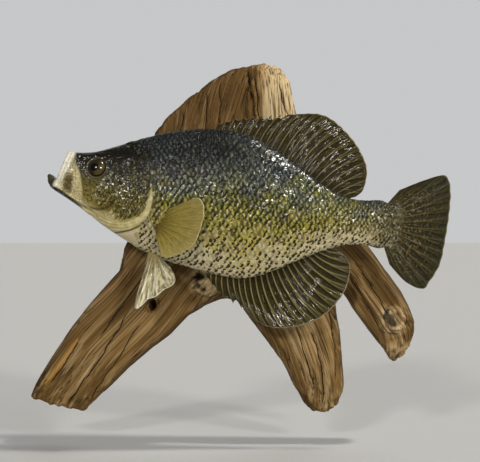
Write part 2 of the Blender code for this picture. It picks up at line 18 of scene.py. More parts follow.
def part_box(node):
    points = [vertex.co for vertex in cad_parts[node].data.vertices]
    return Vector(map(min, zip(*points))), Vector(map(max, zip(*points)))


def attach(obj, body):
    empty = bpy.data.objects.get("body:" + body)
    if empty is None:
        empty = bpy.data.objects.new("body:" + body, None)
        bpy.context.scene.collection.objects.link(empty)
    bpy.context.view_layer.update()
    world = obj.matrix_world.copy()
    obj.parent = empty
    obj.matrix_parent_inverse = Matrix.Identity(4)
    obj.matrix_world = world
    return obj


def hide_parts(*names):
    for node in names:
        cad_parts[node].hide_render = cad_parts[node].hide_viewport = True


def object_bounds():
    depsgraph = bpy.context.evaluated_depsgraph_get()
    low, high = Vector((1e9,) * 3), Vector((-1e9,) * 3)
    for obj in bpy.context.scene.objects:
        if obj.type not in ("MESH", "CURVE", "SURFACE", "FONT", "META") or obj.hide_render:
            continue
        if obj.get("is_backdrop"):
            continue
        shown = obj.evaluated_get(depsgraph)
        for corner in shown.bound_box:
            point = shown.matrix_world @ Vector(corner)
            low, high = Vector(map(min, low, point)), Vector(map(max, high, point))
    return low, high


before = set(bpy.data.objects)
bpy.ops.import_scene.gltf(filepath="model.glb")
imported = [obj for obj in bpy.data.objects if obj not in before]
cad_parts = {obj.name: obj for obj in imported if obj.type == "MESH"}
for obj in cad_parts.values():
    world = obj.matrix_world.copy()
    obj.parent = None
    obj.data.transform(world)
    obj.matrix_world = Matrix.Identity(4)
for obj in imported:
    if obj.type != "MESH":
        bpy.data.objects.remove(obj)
solid_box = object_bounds()
print("solid model box:", [round(v, 4) for corner in solid_box for v in corner])

# %% [markdown]
# ## Shared helpers
# Colours are written as the hex values that a painter reads off a chart, and one function turns them
# into the linear light that Blender computes with. One function adds a shader node with its settings
# and links, and one plugs finished sockets into a shader. Another makes a mesh from plain arrays, which
# is quick enough for a hundred thousand faces.

# %% Helpers for colours, meshes and shader nodes
MM = 0.001
SIDES = {"left": -1, "right": 1}


def linear(hex_colour):
    """Turn an sRGB hex colour into linear red, green, blue and alpha."""
    values = [int(hex_colour[k:k + 2], 16) / 255 for k in (1, 3, 5)]
    return tuple(v / 12.92 if v <= 0.04045 else ((v + 0.055) / 1.055) ** 2.4 for v in values) + (1.0,)


CHOICES = {"Math": "operation", "VectorMath": "operation", "Mix": "data_type", "Attribute": "attribute_name"}
OUTPUTS = {"Attribute": "Fac", "TexCoord": "Object"}


def add_node(tree, kind, *inputs, out=None, stops=()):
    """Add a shader node and return an output socket, the first live one if none is named.

    A word after the kind is the node's main choice, as in "Math ADD". Inputs go in order to the node's
    live sockets: a socket is linked, and a hex colour or a number is set.
    """
    kind, *choice = kind.split()
    node = tree.nodes.new("ShaderNode" + kind)
    if choice:
        setattr(node, CHOICES[kind], choice[0])
    live = [socket for socket in node.inputs if socket.enabled]
    for socket, value in zip(live, inputs):
        if isinstance(value, bpy.types.NodeSocket):
            tree.links.new(value, socket)
        elif value is not None:
            socket.default_value = linear(value) if isinstance(value, str) else value
    for number, (position, colour) in enumerate(stops):
        bar = node.color_ramp.elements
        stop = bar[number] if number < 2 else bar.new(position)
        stop.position, stop.color = position, linear(colour)
    out = out or OUTPUTS.get(kind)
    return node.outputs[out] if out else next(socket for socket in node.outputs if socket.enabled)


def plug_in(shader, **inputs):
    """Set or link a shader's inputs by name, with _ for a space, as in Base_Color=paint or IOR=1.5."""
    for name, value in inputs.items():
        socket = shader.inputs[name.replace("_", " ")]
        if isinstance(value, bpy.types.NodeSocket):
            shader.id_data.links.new(value, socket)
        else:
            socket.default_value = value


def start_material(name, **constants):
    """A new Principled material, with an add_node for its tree and a plug_in for its shader."""
    material = bpy.data.materials.new(name)
    material.use_nodes = True
    shader = material.node_tree.nodes["Principled BSDF"]
    plug_in(shader, **constants)
    return material, partial(add_node, material.node_tree), partial(plug_in, shader)


def show(name, data):
    """A new object in the scene."""
    thing = bpy.data.objects.new(name, data)
    bpy.context.scene.collection.objects.link(thing)
    return thing


def finish_with(thing, material):
    """Give an object this one material."""
    thing.data.materials.clear()
    thing.data.materials.append(material)


def store(mesh, values):
    """Store named lists of numbers on the points of a mesh."""
    for key, numbers in values.items():
        layer = mesh.attributes.new(key, "FLOAT", "POINT")
        layer.data.foreach_set("value", np.asarray(numbers, dtype=np.float32).ravel())


def make_piece(name, points, faces, material, values, uv=None):
    """Make a smooth mesh object from arrays of points (metres) and faces, with named point values."""
    faces = np.asarray(faces, dtype=np.int32)
    mesh = bpy.data.meshes.new(name)
    mesh.vertices.add(len(points))
    mesh.vertices.foreach_set("co", np.asarray(points, dtype=np.float32).ravel())
    mesh.loops.add(faces.size)
    mesh.loops.foreach_set("vertex_index", faces.ravel())
    mesh.polygons.add(len(faces))
    mesh.polygons.foreach_set("loop_start", np.arange(0, faces.size, faces.shape[1], dtype=np.int32))
    mesh.update(calc_edges=True)
    mesh.validate()
    mesh.shade_smooth()
    store(mesh, values)
    if uv is not None:
        layer = mesh.uv_layers.new(name="OFBake")
        layer.uv.foreach_set("vector", np.asarray(uv, dtype=np.float32)[faces.ravel()].ravel())
    mesh.materials.append(material)
    print(f"{name}: {len(points)} points, {len(faces)} faces")
    return show(name, mesh)


def grid_faces(rows, columns, offset=0):
    """Quads between the points of a grid that is stored row by row."""
    corner = np.arange(rows * columns).reshape(rows, columns)[:-1, :-1].ravel() + offset
    return np.stack([corner, corner + 1, corner + columns + 1, corner + columns], axis=1)


def on_curve(points, places):
    """Points on a Catmull-Rom curve; place 0 is its first point, 1 its second, and so on."""
    points = np.asarray(points, dtype=float)
    last = len(points) - 1
    places = np.clip(np.asarray(places, dtype=float), 0.0, last - 1e-9)
    start = np.floor(places).astype(int)
    t = (places - start)[..., None]
    a = points[np.maximum(start - 1, 0)]
    b = points[start]
    c = points[start + 1]
    d = points[np.minimum(start + 2, last)]
    square, cube = (2 * a - 5 * b + 4 * c - d) * t ** 2, (3 * b - a - 3 * c + d) * t ** 3
    return 0.5 * (2 * b + (c - a) * t + square + cube)


def walked(points):
    """The distance walked along a line of points, starting at 0."""
    return np.append(0.0, np.cumsum(np.linalg.norm(np.diff(points, axis=0), axis=1)))


def ease(low, high, value):
    """0 below low, 1 above high, and a smooth step between."""
    t = np.clip((value - low) / (high - low), 0.0, 1.0)
    return t * t * (3 - 2 * t)


# %% [markdown]
# ## The fish's own frame
# A fish is easiest to describe lying level, with x from the snout to the tail and z toward the back,
# in millimetres. The mount pitches it head up and swings head and tail a little toward the viewer.
# The body is a row of ribs, each with a top point, a bottom point, a half width and a fullness; they
# repeat the ribs of the solid model, so that skin and solid agree. Three thin ribs more let the flesh
# run out over the root of the tail fin.

# %% Ribs of the body, the jaw and the mouth
SNOUT = np.array((-180.5, -77.0, 30.3))
PITCH = math.radians(9.5)
HEAD_BEND_START, HEAD_BEND = 110.0, 0.00048
TAIL_BEND_START, TAIL_BEND = 200.0, 0.00034
BODY_RIBS = (
    (15.8, 19.1, 6.8, -20.4, 11, 0.72),
    (24, 19.5, 22, -27.1, 12.8, 0.78),
    (33.4, 21.3, 36.8, -33.8, 15, 0.86),
    (42.7, 24.3, 51, -43.1, 17.2, 0.94),
    (56.2, 30.7, 69, -51.8, 20.3, 1.02),
    (69.7, 37.1, 85.8, -58.9, 22.8, 1.08),
    (87.8, 45.3, 104.3, -65.2, 24.8, 1.12),
    (110.7, 54.1, 128.5, -70.1, 25.8, 1.15),
    (134, 60.3, 156.3, -73.2, 25.8, 1.18),
    (157.8, 63.3, 183.9, -75.4, 25, 1.2),
    (182.5, 61.1, 206.7, -71.6, 23.2, 1.2),
    (208.3, 52.1, 227.3, -61.1, 20.6, 1.2),
    (234.8, 39.7, 249.3, -47.4, 17.2, 1.18),
    (261.4, 25.6, 268.7, -35.4, 13.6, 1.14),
    (282, 18.9, 286.8, -26.9, 10.6, 1.1),
    (298.6, 18.5, 305.6, -23.1, 8.2, 1.06),
    (315.7, 21.4, 321.3, -24, 6.2, 1.02),
    (323.8, 19.5, 328.7, -21.5, 4.6, 1),
)
ROOT_RIBS = (
    (330, 22, 333.5, -24, 2.6, 1),
    (336, 25, 339, -27, 1.3, 1),
    (341, 25.5, 343, -27.5, 0.5, 1),
)
FLESH_RIBS = BODY_RIBS + ROOT_RIBS
JAW_RIBS = (
    (-0.8, -6.6, -0.4, -13.5, 3, 0.9),
    (2.6, -6.6, 2.8, -18, 6.5, 0.85),
    (7, -9.5, 7.6, -21, 9.6, 0.8),
    (14, -15, 14, -24, 11.2, 0.75),
    (22, -20, 22.3, -27.6, 11.6, 0.7),
    (33, -26, 33, -32.8, 12, 0.7),
    (43, -33, 43.6, -38.7, 11, 0.7),
)
MOUTH_RIBS = (
    (10, 24, 2, -9, 4.2, 0.8),
    (16.4, 16.6, 8.6, -16.4, 8.8, 0.8),
    (26, 14.5, 22, -22.5, 9.8, 0.8),
    (36, -2, 37, -25.5, 8, 0.9),
    (45, -9, 46, -22, 3.5, 1),
)


def middle_of_body(x):
    """How far the middle line leans toward the viewer at a place along the fish."""
    head = HEAD_BEND * np.maximum(0.0, HEAD_BEND_START - x) ** 2
    tail = TAIL_BEND * np.maximum(0.0, x - TAIL_BEND_START) ** 2
    return -head - tail


def pitched(points, angle):
    """Points turned head up by an angle, or head down by a negative one."""
    x, y, z = np.moveaxis(points, -1, 0)
    sine, cosine = math.sin(angle), math.cos(angle)
    return np.stack([x * cosine + z * sine, y, z * cosine - x * sine], axis=-1)


def to_world(points):
    """Millimetres in the fish's frame to metres in the model's frame."""
    return (pitched(np.asarray(points, dtype=float), PITCH) + SNOUT) * MM


def to_fish(points):
    """Metres in the model's frame to millimetres in the fish's frame."""
    return pitched(np.asarray(points, dtype=float) / MM - SNOUT, -PITCH)


def rib_points(ribs, place, angle, grow=0.0):
    """Points round a row of ribs. Angle 0 is the top, and angles to pi go down the wall side."""
    rows = on_curve(ribs, place)
    top = np.stack([rows[..., 0], rows[..., 1]], axis=-1)
    bottom = np.stack([rows[..., 2], rows[..., 3]], axis=-1)
    upward = (top - bottom) / 2
    upward = upward * (1 + grow / np.linalg.norm(upward, axis=-1))[..., None]
    spot = (top + bottom) / 2 + upward * np.cos(angle)[..., None]
    sine = np.sin(angle)
    side = np.sign(sine) * np.abs(sine) ** rows[..., 5] * (rows[..., 4] + grow)
    return np.stack([spot[..., 0], middle_of_body(spot[..., 0]) + side, spot[..., 1]], axis=-1)


probe = to_world(rib_points(BODY_RIBS, np.full(3, 9.0), np.array([0.0, 1.6, 3.1])))
trunk_low, trunk_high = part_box("trunk")
print("deepest rib:", probe[:, 2].round(4), "solid trunk:", round(trunk_low.z, 4), round(trunk_high.z, 4))

# %% [markdown]
# ## A chart of the flank
# Scales grow in rows over a curved body, so they need a map of it. Each side gets a chart: "along" is
# the distance in millimetres from the snout on the middle line, and "across" is the distance from the
# middle line toward the back (positive) or the belly (negative), measured on the skin itself.

# %% Chart each flank
PLACES = np.linspace(0, len(FLESH_RIBS) - 1, 601)
ACROSS = np.linspace(-84.0, 84.0, 337)
MIDDLE, TURNS = 200, np.linspace(-0.5, math.pi + 0.5, 401)


def chart_flank(side):
    """Points and outward normals of one flank on an even grid of along and across."""
    place, turn = np.meshgrid(PLACES, TURNS, indexing="ij")
    ring = rib_points(FLESH_RIBS, place, side * turn)
    steps = np.linalg.norm(np.diff(ring, axis=1), axis=2)
    down = np.concatenate([np.zeros((len(PLACES), 1)), np.cumsum(steps, axis=1)], axis=1)
    across = down[:, [MIDDLE]] - down
    along = walked(ring[:, MIDDLE]) + ring[0, MIDDLE, 0]
    turns = np.stack([np.interp(ACROSS, row[::-1], TURNS[::-1]) for row in across])
    place = np.broadcast_to(PLACES[:, None], turns.shape)
    points = rib_points(FLESH_RIBS, place, side * turns)
    normals = np.cross(np.gradient(points, axis=0), np.gradient(points, axis=1)) * -side
    normals /= np.maximum(np.linalg.norm(normals, axis=2, keepdims=True), 1e-9)
    back, belly = [np.array([np.interp(end, TURNS, row) for row in across]) for end in (0.0, math.pi)]
    return {"along": along, "points": points, "normals": normals, "back": back, "belly": belly}


CHARTS = {side: chart_flank(sign) for side, sign in SIDES.items()}
left = CHARTS["left"]
print("left flank faces", left["normals"][270, 168].round(2), "length", left["along"][-1].round(1), "mm")


def look_up(chart, table, along, across):
    """Read a chart's table at any along and across, blending between its grid points."""
    row = np.clip(np.interp(along, chart["along"], np.arange(len(PLACES))), 0, len(PLACES) - 1.001)
    column = np.clip((across - ACROSS[0]) / (ACROSS[1] - ACROSS[0]), 0, len(ACROSS) - 1.001)
    i, j = np.floor(row).astype(int), np.floor(column).astype(int)
    u, v = (row - i)[..., None], (column - j)[..., None]
    data = chart[table]
    near = data[i, j] * (1 - v) + data[i, j + 1] * v
    far = data[i + 1, j] * (1 - v) + data[i + 1, j + 1] * v
    return near * (1 - u) + far * u


# %% [markdown]
# ## Small solids from grids
# A scale and a fin are both thin plates. Each is described by the grid of points on its upper face and
# the matching grid on its lower face, and the rim between them is closed, so every plate is a real
# solid with a thickness. Natural surfaces also need an uneven touch: value noise gives each point of
# space a smooth random number that is the same on every run.

# %% Plates and noise
def plate_faces(rows, columns):
    """Faces of one closed plate: upper grid, lower grid and the rim between them."""
    count = rows * columns
    upper = grid_faces(rows, columns)
    lower = grid_faces(rows, columns, count)[:, ::-1]
    index = np.arange(count).reshape(rows, columns)
    loop = np.concatenate([index[0, :-1], index[:-1, -1], index[-1, :0:-1], index[:0:-1, 0]])
    after = np.roll(loop, -1)
    rim = np.stack([after, loop, loop + count, after + count], axis=1)
    return np.concatenate([upper, lower, rim])


def scatter(cells, seed):
    """A repeatable random number from 0 to 1 for each row of whole numbers."""
    mixed = (cells[..., 0] * 73856093) ^ (cells[..., 1] * 19349663) ^ (cells[..., 2] * 83492791)
    mixed = (mixed + seed * 374761393) & 0xFFFFFFFF
    mixed = ((mixed ^ (mixed >> 13)) * 1274126177) & 0xFFFFFFFF
    mixed = ((mixed ^ (mixed >> 16)) * 2246822519) & 0xFFFFFFFF
    return (mixed ^ (mixed >> 15)) / 0xFFFFFFFF


def wander(x, y, z, seed):
    """Smooth noise from -1 to 1, with lumps about one unit across."""
    points = np.stack(np.broadcast_arrays(x, y, z), axis=-1).astype(float)
    cell = np.floor(points).astype(np.int64)
    part = points - cell
    part = part * part * (3 - 2 * part)
    total = np.zeros(points.shape[:-1])
    for corner in np.ndindex(2, 2, 2):
        weight = np.prod(np.where(corner, part, 1 - part), axis=-1)
        total += weight * scatter(cell + np.array(corner), seed)
    return total * 2 - 1


print("noise sample:", wander(np.array([0.3, 5.1]), 0.6, 2.2, 0).round(3))

# %% [markdown]
# ## Landmarks of the head
# The bones and folds of a fish's head are lines that can be drawn on its side view. Each line here is a
# short list of points, x then z, in millimetres. A function measures how far any point of the skin lies
# from such a line and on which side, and the relief and the paint both use those distances.

# %% Landmark lines and distances to them
GILL_EDGE = (
    (84, 31), (88, 27.5), (92, 22), (96.8, 14.6), (98.9, -0.6), (101.7, -11.8), (101.4, -24.5),
    (96.5, -35.5), (88, -43.3), (79, -47.7), (68, -51), (60, -53),
)
GILL_BAND = ((99, -4), (97.2, -20.3), (91, -31.1), (80.5, -37.7), (65.1, -39.8), (50.8, -35.9), (36, -29.6))
PREOPERCLE = ((62, 14), (64.6, 3.4), (65.6, -8.1), (64.8, -18), (62, -25.1), (54, -29.8), (45.1, -30))
SUBOPERCLE = ((70, -27), (80, -25), (89, -21), (97, -13))
JAW_LINE = ((7.2, -17.8), (14, -20.9), (21.6, -24.2), (35, -29.2), (46, -35), (52, -40))
LIP_LINE = ((15.8, 19.1), (13.4, 8), (10.8, -4), (7.6, -17))
MAXILLA_BACK = ((21.6, 19.6), (19.8, 9), (16.6, -3), (11, -18.4))
MEMBRANE_BACK = ((21.5, 21), (23, 10), (27.5, 3), (31, -6), (33.5, -15), (36, -30))
EYE_CENTRE = np.array((44.0, 7.4))
LINE_PIECES = 36
NOSTRILS = ((31.3, 12.4), (27.6, 10.6))
BROW = ((31, 15.5), (38, 18.2), (46, 19.6), (54, 17.4), (58.5, 12.5))
HEAD_REACH = 122.0


def line_distance(x, z, line):
    """Distance from a side-view line, + on its left and - on its right, and the fraction along it."""
    curve = on_curve(line, np.linspace(0, len(line) - 1, LINE_PIECES + 1))
    best, side, share = np.full(len(x), 1e18), np.zeros(len(x)), np.zeros(len(x))
    for k in range(LINE_PIECES):
        (start_x, start_z), (span_x, span_z) = curve[k], curve[k + 1] - curve[k]
        from_x, from_z = x - start_x, z - start_z
        t = np.clip((from_x * span_x + from_z * span_z) / (span_x ** 2 + span_z ** 2), 0, 1)
        gap = (from_x - t * span_x) ** 2 + (from_z - t * span_z) ** 2
        nearer = gap < best
        np.copyto(best, gap, where=nearer)
        np.copyto(share, (k + t) / LINE_PIECES, where=nearer)
        np.copyto(side, np.sign(span_x * from_z - span_z * from_x), where=nearer)
    return np.sqrt(best) * side, share


def ridge(distance, width):
    """A smooth bump of height 1 along a line."""
    return np.exp(-(distance / width) ** 2)


def paddle_mask(x, z):
    """The broad end plate of the upper jaw, a rounded brown leaf of bone."""
    return np.exp(-((x - 19.4) / 4.1) ** 6 - ((z + 11.2) / 8.6) ** 6)


def head_relief(x, z):
    """Millimetres by which the bones and folds of the head stand above the plain body."""
    x, z = np.broadcast_arrays(np.asarray(x, dtype=float), np.asarray(z, dtype=float))
    shape, x, z = x.shape, x.ravel(), z.ravel()
    rise = np.zeros(len(x))
    near = x < HEAD_REACH
    x, z = x[near], z[near]
    from_eye = np.hypot(x - EYE_CENTRE[0], z - EYE_CENTRE[1])

    edge, share = line_distance(x, z, GILL_EDGE)
    ends = ease(0.0, 0.12, share) * ease(1.0, 0.93, share)
    flap = np.where(edge < 0, 1.1 * np.clip(1 + edge / 22.0, 0, 1) ** 1.6, 0.0)
    high = flap * ease(0.9, -0.7, edge) - 0.6 * ridge(edge - 1.8, 1.8)

    band = line_distance(x, z, GILL_BAND)[0]
    in_band = ease(-0.6, 0.6, band) * ease(0.5, -1.0, edge)
    high = high * ends + in_band * (0.3 * np.cos(2 * math.pi * band / 2.7) - 0.2)

    bone = line_distance(x, z, PREOPERCLE)[0]
    high += 0.55 * ridge(bone + 1.2, 2.2) - 0.4 * ridge(bone - 1.6, 1.6)
    high -= 0.35 * ridge(line_distance(x, z, SUBOPERCLE)[0], 1.1)

    high += 0.7 * ridge(from_eye - 9.9, 1.1) - 0.9 * np.exp(-(from_eye / 8.0) ** 4)
    high += 0.6 * ridge(line_distance(x, z, BROW)[0], 2.4)
    for spot in NOSTRILS:
        from_hole = np.hypot(x - spot[0], z - spot[1])
        high += 0.3 * ridge(from_hole - 1.9, 0.7) - 1.0 * ridge(from_hole, 1.0)

    jaw = line_distance(x, z, MAXILLA_BACK)[0]
    lip = np.abs(line_distance(x, z, LIP_LINE)[0])
    high += 1.1 * ease(1.5, -3.0, jaw) - 0.55 * ridge(lip - 2.0, 0.7)
    panel = line_distance(x, z, MEMBRANE_BACK)[0]
    high -= 0.5 * ease(0.5, 2.0, jaw) * ease(0.6, -0.8, panel)
    high += 0.7 * paddle_mask(x, z) - 0.35 * ridge(np.abs(panel) - 0.4, 0.8) * ease(8.0, 0.0, z)
    bony = ease(30.0, 36.0, x + 0.2 * z) * ease(0.5, -2.0, edge) * ease(-0.5, 1.0, -band)
    high += bony * (0.20 * wander(x / 2.6, z / 2.6, 0, 90) + 0.14 * wander(x / 1.3, z / 1.3, 0, 91))
    high -= 1.0 * ridge(line_distance(x, z, JAW_LINE)[0], 0.9)
    rise[near] = high * ease(HEAD_REACH, HEAD_REACH - 10.0, x)
    return rise.reshape(shape)


print("relief at the gill edge:", head_relief(np.array([96.0, 101.0]), np.array([-5.0, -5.0])).round(2))

# %% [markdown]
# ## The skin
# A mounted fish is a real skin stretched over a carved form, so one unbroken skin covers head, jaws,
# gill covers, trunk and tail. It is lofted through the ribs, a little inside the solid so that the
# scales have room. The mouth is hollowed out, rounded lips are added, and a voxel remesh fuses it all
# into one even net of small faces that can carry the fine relief.

# %% Loft the body and the jaw, and hollow the mouth
COAT_DEPTH = 0.45
SKIN_VOXEL = 0.92
LIP_RADIUS = 1.25
MOUTH_LINING = 1.1 * MM


def solid_loft(name, ribs, steps, around, grow):
    """A closed, smooth solid through a row of ribs."""
    places = np.linspace(0, len(ribs) - 1, (len(ribs) - 1) * steps + 1)
    turn = np.linspace(0, 2 * math.pi, around, endpoint=False)
    place, turn = np.meshgrid(places, turn, indexing="ij")
    rings = to_world(rib_points(ribs, place, turn, grow))
    return closed_tube(name, rings, end_middles(rings))


def end_middles(rings):
    """The middle of the first ring and the middle of the last."""
    return np.array([rings[0].mean(axis=0), rings[-1].mean(axis=0)])


def closed_tube(name, rings, ends):
    """A mesh object from rings of points and two end points."""
    count, around = rings.shape[:2]
    index = np.arange(count * around).reshape(count, around)
    nearby = np.roll(index, -1, axis=1)
    sides = np.stack([index[:-1], nearby[:-1], nearby[1:], index[1:]], axis=-1).reshape(-1, 4).tolist()
    start = np.stack([nearby[0], index[0], np.full(around, index.size)], axis=-1).tolist()
    end = np.stack([index[-1], nearby[-1], np.full(around, index.size + 1)], axis=-1).tolist()
    points = np.concatenate([rings.reshape(-1, 3), ends])
    mesh = bpy.data.meshes.new(name)
    mesh.from_pydata(points.tolist(), [], sides + start + end)
    return show(name, mesh)


def tube_along(name, curve, radius, around=14):
    """A tube of one radius, or of one radius per point, along a line of points in millimetres."""
    curve = np.asarray(curve, dtype=float)
    radius = np.broadcast_to(np.asarray(radius, dtype=float), len(curve))
    ahead = np.gradient(curve, axis=0)
    ahead /= np.linalg.norm(ahead, axis=1, keepdims=True)
    helper = np.array([0.31, 0.11, 0.94]) if abs(ahead[:, 1]).mean() > 0.5 else np.array([0.05, 1.0, 0.02])
    first = np.cross(ahead, helper)
    first /= np.linalg.norm(first, axis=1, keepdims=True)
    second = np.cross(ahead, first)
    turn = np.linspace(0, 2 * math.pi, around, endpoint=False)
    circle = first[:, None] * np.cos(turn)[:, None] + second[:, None] * np.sin(turn)[:, None]
    rings = curve[:, None] + radius[:, None, None] * circle
    return closed_tube(name, to_world(rings), to_world(curve[[0, -1]]))


def use_modifier(shape, kind, **settings):
    """Add a modifier and apply it straight away."""
    modifier = shape.modifiers.new(kind, kind)
    for key, value in settings.items():
        setattr(modifier, key, value)
    graph = bpy.context.evaluated_depsgraph_get()
    mesh = bpy.data.meshes.new_from_object(shape.evaluated_get(graph))
    shape.modifiers.clear()
    shape.data = mesh


body = solid_loft("body_loft", FLESH_RIBS, 16, 180, -COAT_DEPTH)
jaw = solid_loft("jaw_loft", JAW_RIBS, 10, 90, -0.2)
hollow = solid_loft("mouth_hollow", MOUTH_RIBS, 10, 90, -0.3)
for part in (body, jaw):
    use_modifier(part, "BOOLEAN", object=hollow, operation="DIFFERENCE", solver="MANIFOLD")
hollow_tree = BVHTree.FromPolygons([v.co.copy() for v in hollow.data.vertices],
                                   [list(p.vertices) for p in hollow.data.polygons])
print("body after hollowing:", len(body.data.vertices), "points; jaw:", len(jaw.data.vertices))

# %% [markdown]
# The lips are rounded rims of firmer skin, and the tongue is a low pad on the floor of the mouth. They
# are plain tubes pushed into the hollowed head; the remesh below melts them into it. A few rounds of
# smoothing take away the small steps that a voxel remesh leaves.

# %% Lips, tongue, and one even net
lip_turn = np.linspace(-2.55, 2.55, 61)
upper_lip = tube_along("upper_lip", rib_points(BODY_RIBS, np.full(61, 0.04), lip_turn, -1.5), LIP_RADIUS)
rim_place = np.concatenate([np.linspace(4.3, 0.25, 40), np.full(15, 0.2), np.linspace(0.25, 4.3, 40)])
rim_turn = np.concatenate([np.full(40, -0.85), np.linspace(-0.8, 0.8, 15), np.full(40, 0.85)])
lower_lip = tube_along("lower_lip", rib_points(JAW_RIBS, rim_place, rim_turn, -0.9), LIP_RADIUS)
tongue_x = np.linspace(8.0, 36.0, 20)
tongue_line = np.stack([tongue_x, middle_of_body(tongue_x), -17.5 - 0.42 * (tongue_x - 8.0)], axis=1)
tongue_radius = 3.6 * np.sin(np.linspace(0.5, 2.6, 20)) ** 0.7
tongue = tube_along("tongue", tongue_line, tongue_radius)


def even_net(shape, voxel, factor, rounds):
    """Remesh a shape into one closed net of small faces, and smooth it."""
    use_modifier(shape, "REMESH", mode="VOXEL", voxel_size=voxel * MM)
    use_modifier(shape, "SMOOTH", factor=factor, iterations=rounds)


def mesh_arrays(shape):
    """Point places and normals of an object's mesh as arrays."""
    result = []
    for kind in ("co", "normal"):
        numbers = np.empty(len(shape.data.vertices) * 3, dtype=np.float32)
        shape.data.vertices.foreach_get(kind, numbers)
        result.append(numbers.reshape(-1, 3).astype(float))
    return result


skin, pieces = body, [body, jaw, upper_lip, lower_lip, tongue]
with bpy.context.temp_override(active_object=skin, selected_editable_objects=pieces):
    bpy.ops.object.join()
skin.name = "fish_skin"
even_net(skin, SKIN_VOXEL, 0.5, 6)
bpy.data.objects.remove(hollow, do_unlink=True)
print("skin:", len(skin.data.vertices), "points,", len(skin.data.polygons), "faces")

# %% [markdown]
# ## Relief and painter's masks
# Every point of the skin now moves along its normal by the relief of the head. The same side-view
# distances give the painter's masks: small numbers stored on the points that say how far up the flank
# a point lies, whether it belongs to the lip, the pale gill membrane, the cheek and so on. The scales
# read the same masks, so skin and scales always carry the same markings.

# %% Move the skin and store its masks
def masks(x, z):
    """The painter's masks of the head at side-view places, each from 0 to 1."""
    x, z = np.broadcast_arrays(np.asarray(x, dtype=float), np.asarray(z, dtype=float))
    shape, x, z = x.shape, x.ravel(), z.ravel()
    near = x < HEAD_REACH
    all_x, x, z = x, x[near], z[near]
    edge, share = line_distance(x, z, GILL_EDGE)
    gill_crease = ridge(edge - 0.9, 1.0) * ease(0.0, 0.15, share)
    membrane = ease(-3.0, 2.2, line_distance(x, z, GILL_BAND)[0]) * ease(0.4, -0.4, edge)
    jaw = line_distance(x, z, MAXILLA_BACK)[0]
    cheek_skin = ease(-0.4, 0.8, jaw) * ease(1.2, -1.2, line_distance(x, z, MEMBRANE_BACK)[0])
    jaw_line = line_distance(x, z, JAW_LINE)[0]
    # The underside of the lower jaw, below the jaw line, and its tip are marked for painted shade.
    mandible = ease(0.5, -0.5, jaw_line) * ease(40.0, 30.0, x) * (z < -5.0)
    paddle = paddle_mask(x, z)
    lip = line_distance(x, z, LIP_LINE)[0]
    chin = ease(1.8, 3.2, -lip) * (z < 4.0)
    from_eye = np.hypot(x - EYE_CENTRE[0], z - EYE_CENTRE[1])
    bone = line_distance(x, z, PREOPERCLE)[0]
    outline = ridge(paddle - 0.30, 0.20) * ease(0.02, 0.1, paddle)
    # Folds, grooves, the lip line and the rim of the paddle are marked for painted shade.
    creases = (gill_crease + 0.75 * ridge(bone - 1.4, 1.3)
               + ridge(jaw_line, 0.9) * ease(50.0, 38.0, x) + 0.7 * outline
               + 0.45 * ridge(np.abs(lip) - 2.0, 0.5))
    found = {
        "head": ease(2.0, -2.0, edge), "membrane": membrane, "lip": ease(1.4, -2.4, jaw) * (1 - chin),
        "cheek_skin": cheek_skin, "mandible": np.maximum(mandible, chin), "paddle": paddle,
        "eye_ring": ridge(from_eye - 9.2, 0.55), "creases": np.clip(creases, 0, 1),
    }
    result = {}
    for key, value in found.items():
        whole = np.zeros(len(all_x))
        whole[near] = value
        result[key] = whole.reshape(shape)
    result["rear"] = ease(90.0, 330.0, all_x).reshape(shape)
    return result


places, normals = mesh_arrays(skin)
spots = to_fish(places)
wall_side = np.sign(spots[:, 1] - middle_of_body(spots[:, 0]))
facing = ease(0.05, 0.45, normals[:, 1] * wall_side)
lift = head_relief(spots[:, 0], spots[:, 2]) * facing
places += normals * (lift * MM)[:, None]
skin.data.vertices.foreach_set("co", places.astype(np.float32).ravel())

top_line = on_curve(FLESH_RIBS, np.linspace(0, len(FLESH_RIBS) - 1, 400))


def height_on_body(x, z):
    """0 on the belly line and 1 on the back line, along the slanting ribs."""
    share_top = np.interp(x, top_line[:, 0], top_line[:, 1])
    share_bottom = np.interp(x, top_line[:, 2], top_line[:, 3])
    return np.clip((z - share_bottom) / (share_top - share_bottom), 0, 1)


skin_masks = masks(spots[:, 0], spots[:, 2])
skin_masks["tail_root"] = ease(316.0, 330.0, spots[:, 0])
skin_masks["high"] = height_on_body(spots[:, 0], spots[:, 2])
inside = np.zeros(len(places))
for k in np.flatnonzero(spots[:, 0] < 50.0):
    inside[k] = hollow_tree.find_nearest(Vector(places[k]))[3] < MOUTH_LINING
skin_masks["inside"] = inside * ease(0.3, 0.0, normals[:, 1] * wall_side)
store(skin.data, skin_masks)
skin.data.shade_smooth()
print("relief from", lift.min().round(2), "to", lift.max().round(2), "mm; inside points:", int(inside.sum()))

# %% [markdown]
# ## Painted fish skin
# A taxidermist airbrushes the skin and then varnishes it. The colours go from a blue-black back over
# olive-gold flanks to a cream belly, with soft patches of slate and yellow. Skin and scales share one
# paint recipe, which reads only the masks. A glossy clear coat stands for the varnish, with small bumps
# of its own, so that its highlights break into sparkles.

# %% Paint recipe
VARNISH = {"IOR": 1.5, "Coat_IOR": 1.5}
BODY_TONES = ((0.0, "#BDB08C"), (0.14, "#AEA173"), (0.27, "#A99A55"), (0.42, "#978F3A"), (0.56, "#757736"),
              (0.70, "#5C6045"), (0.82, "#50554B"), (1.0, "#2B2E2B"))
HEAD_TONES = ((0.0, "#C9BF9B"), (0.16, "#A89A66"), (0.26, "#6C5E20"), (0.40, "#61571F"), (0.52, "#4E481F"),
              (0.64, "#272412"), (0.85, "#0C0A06"))


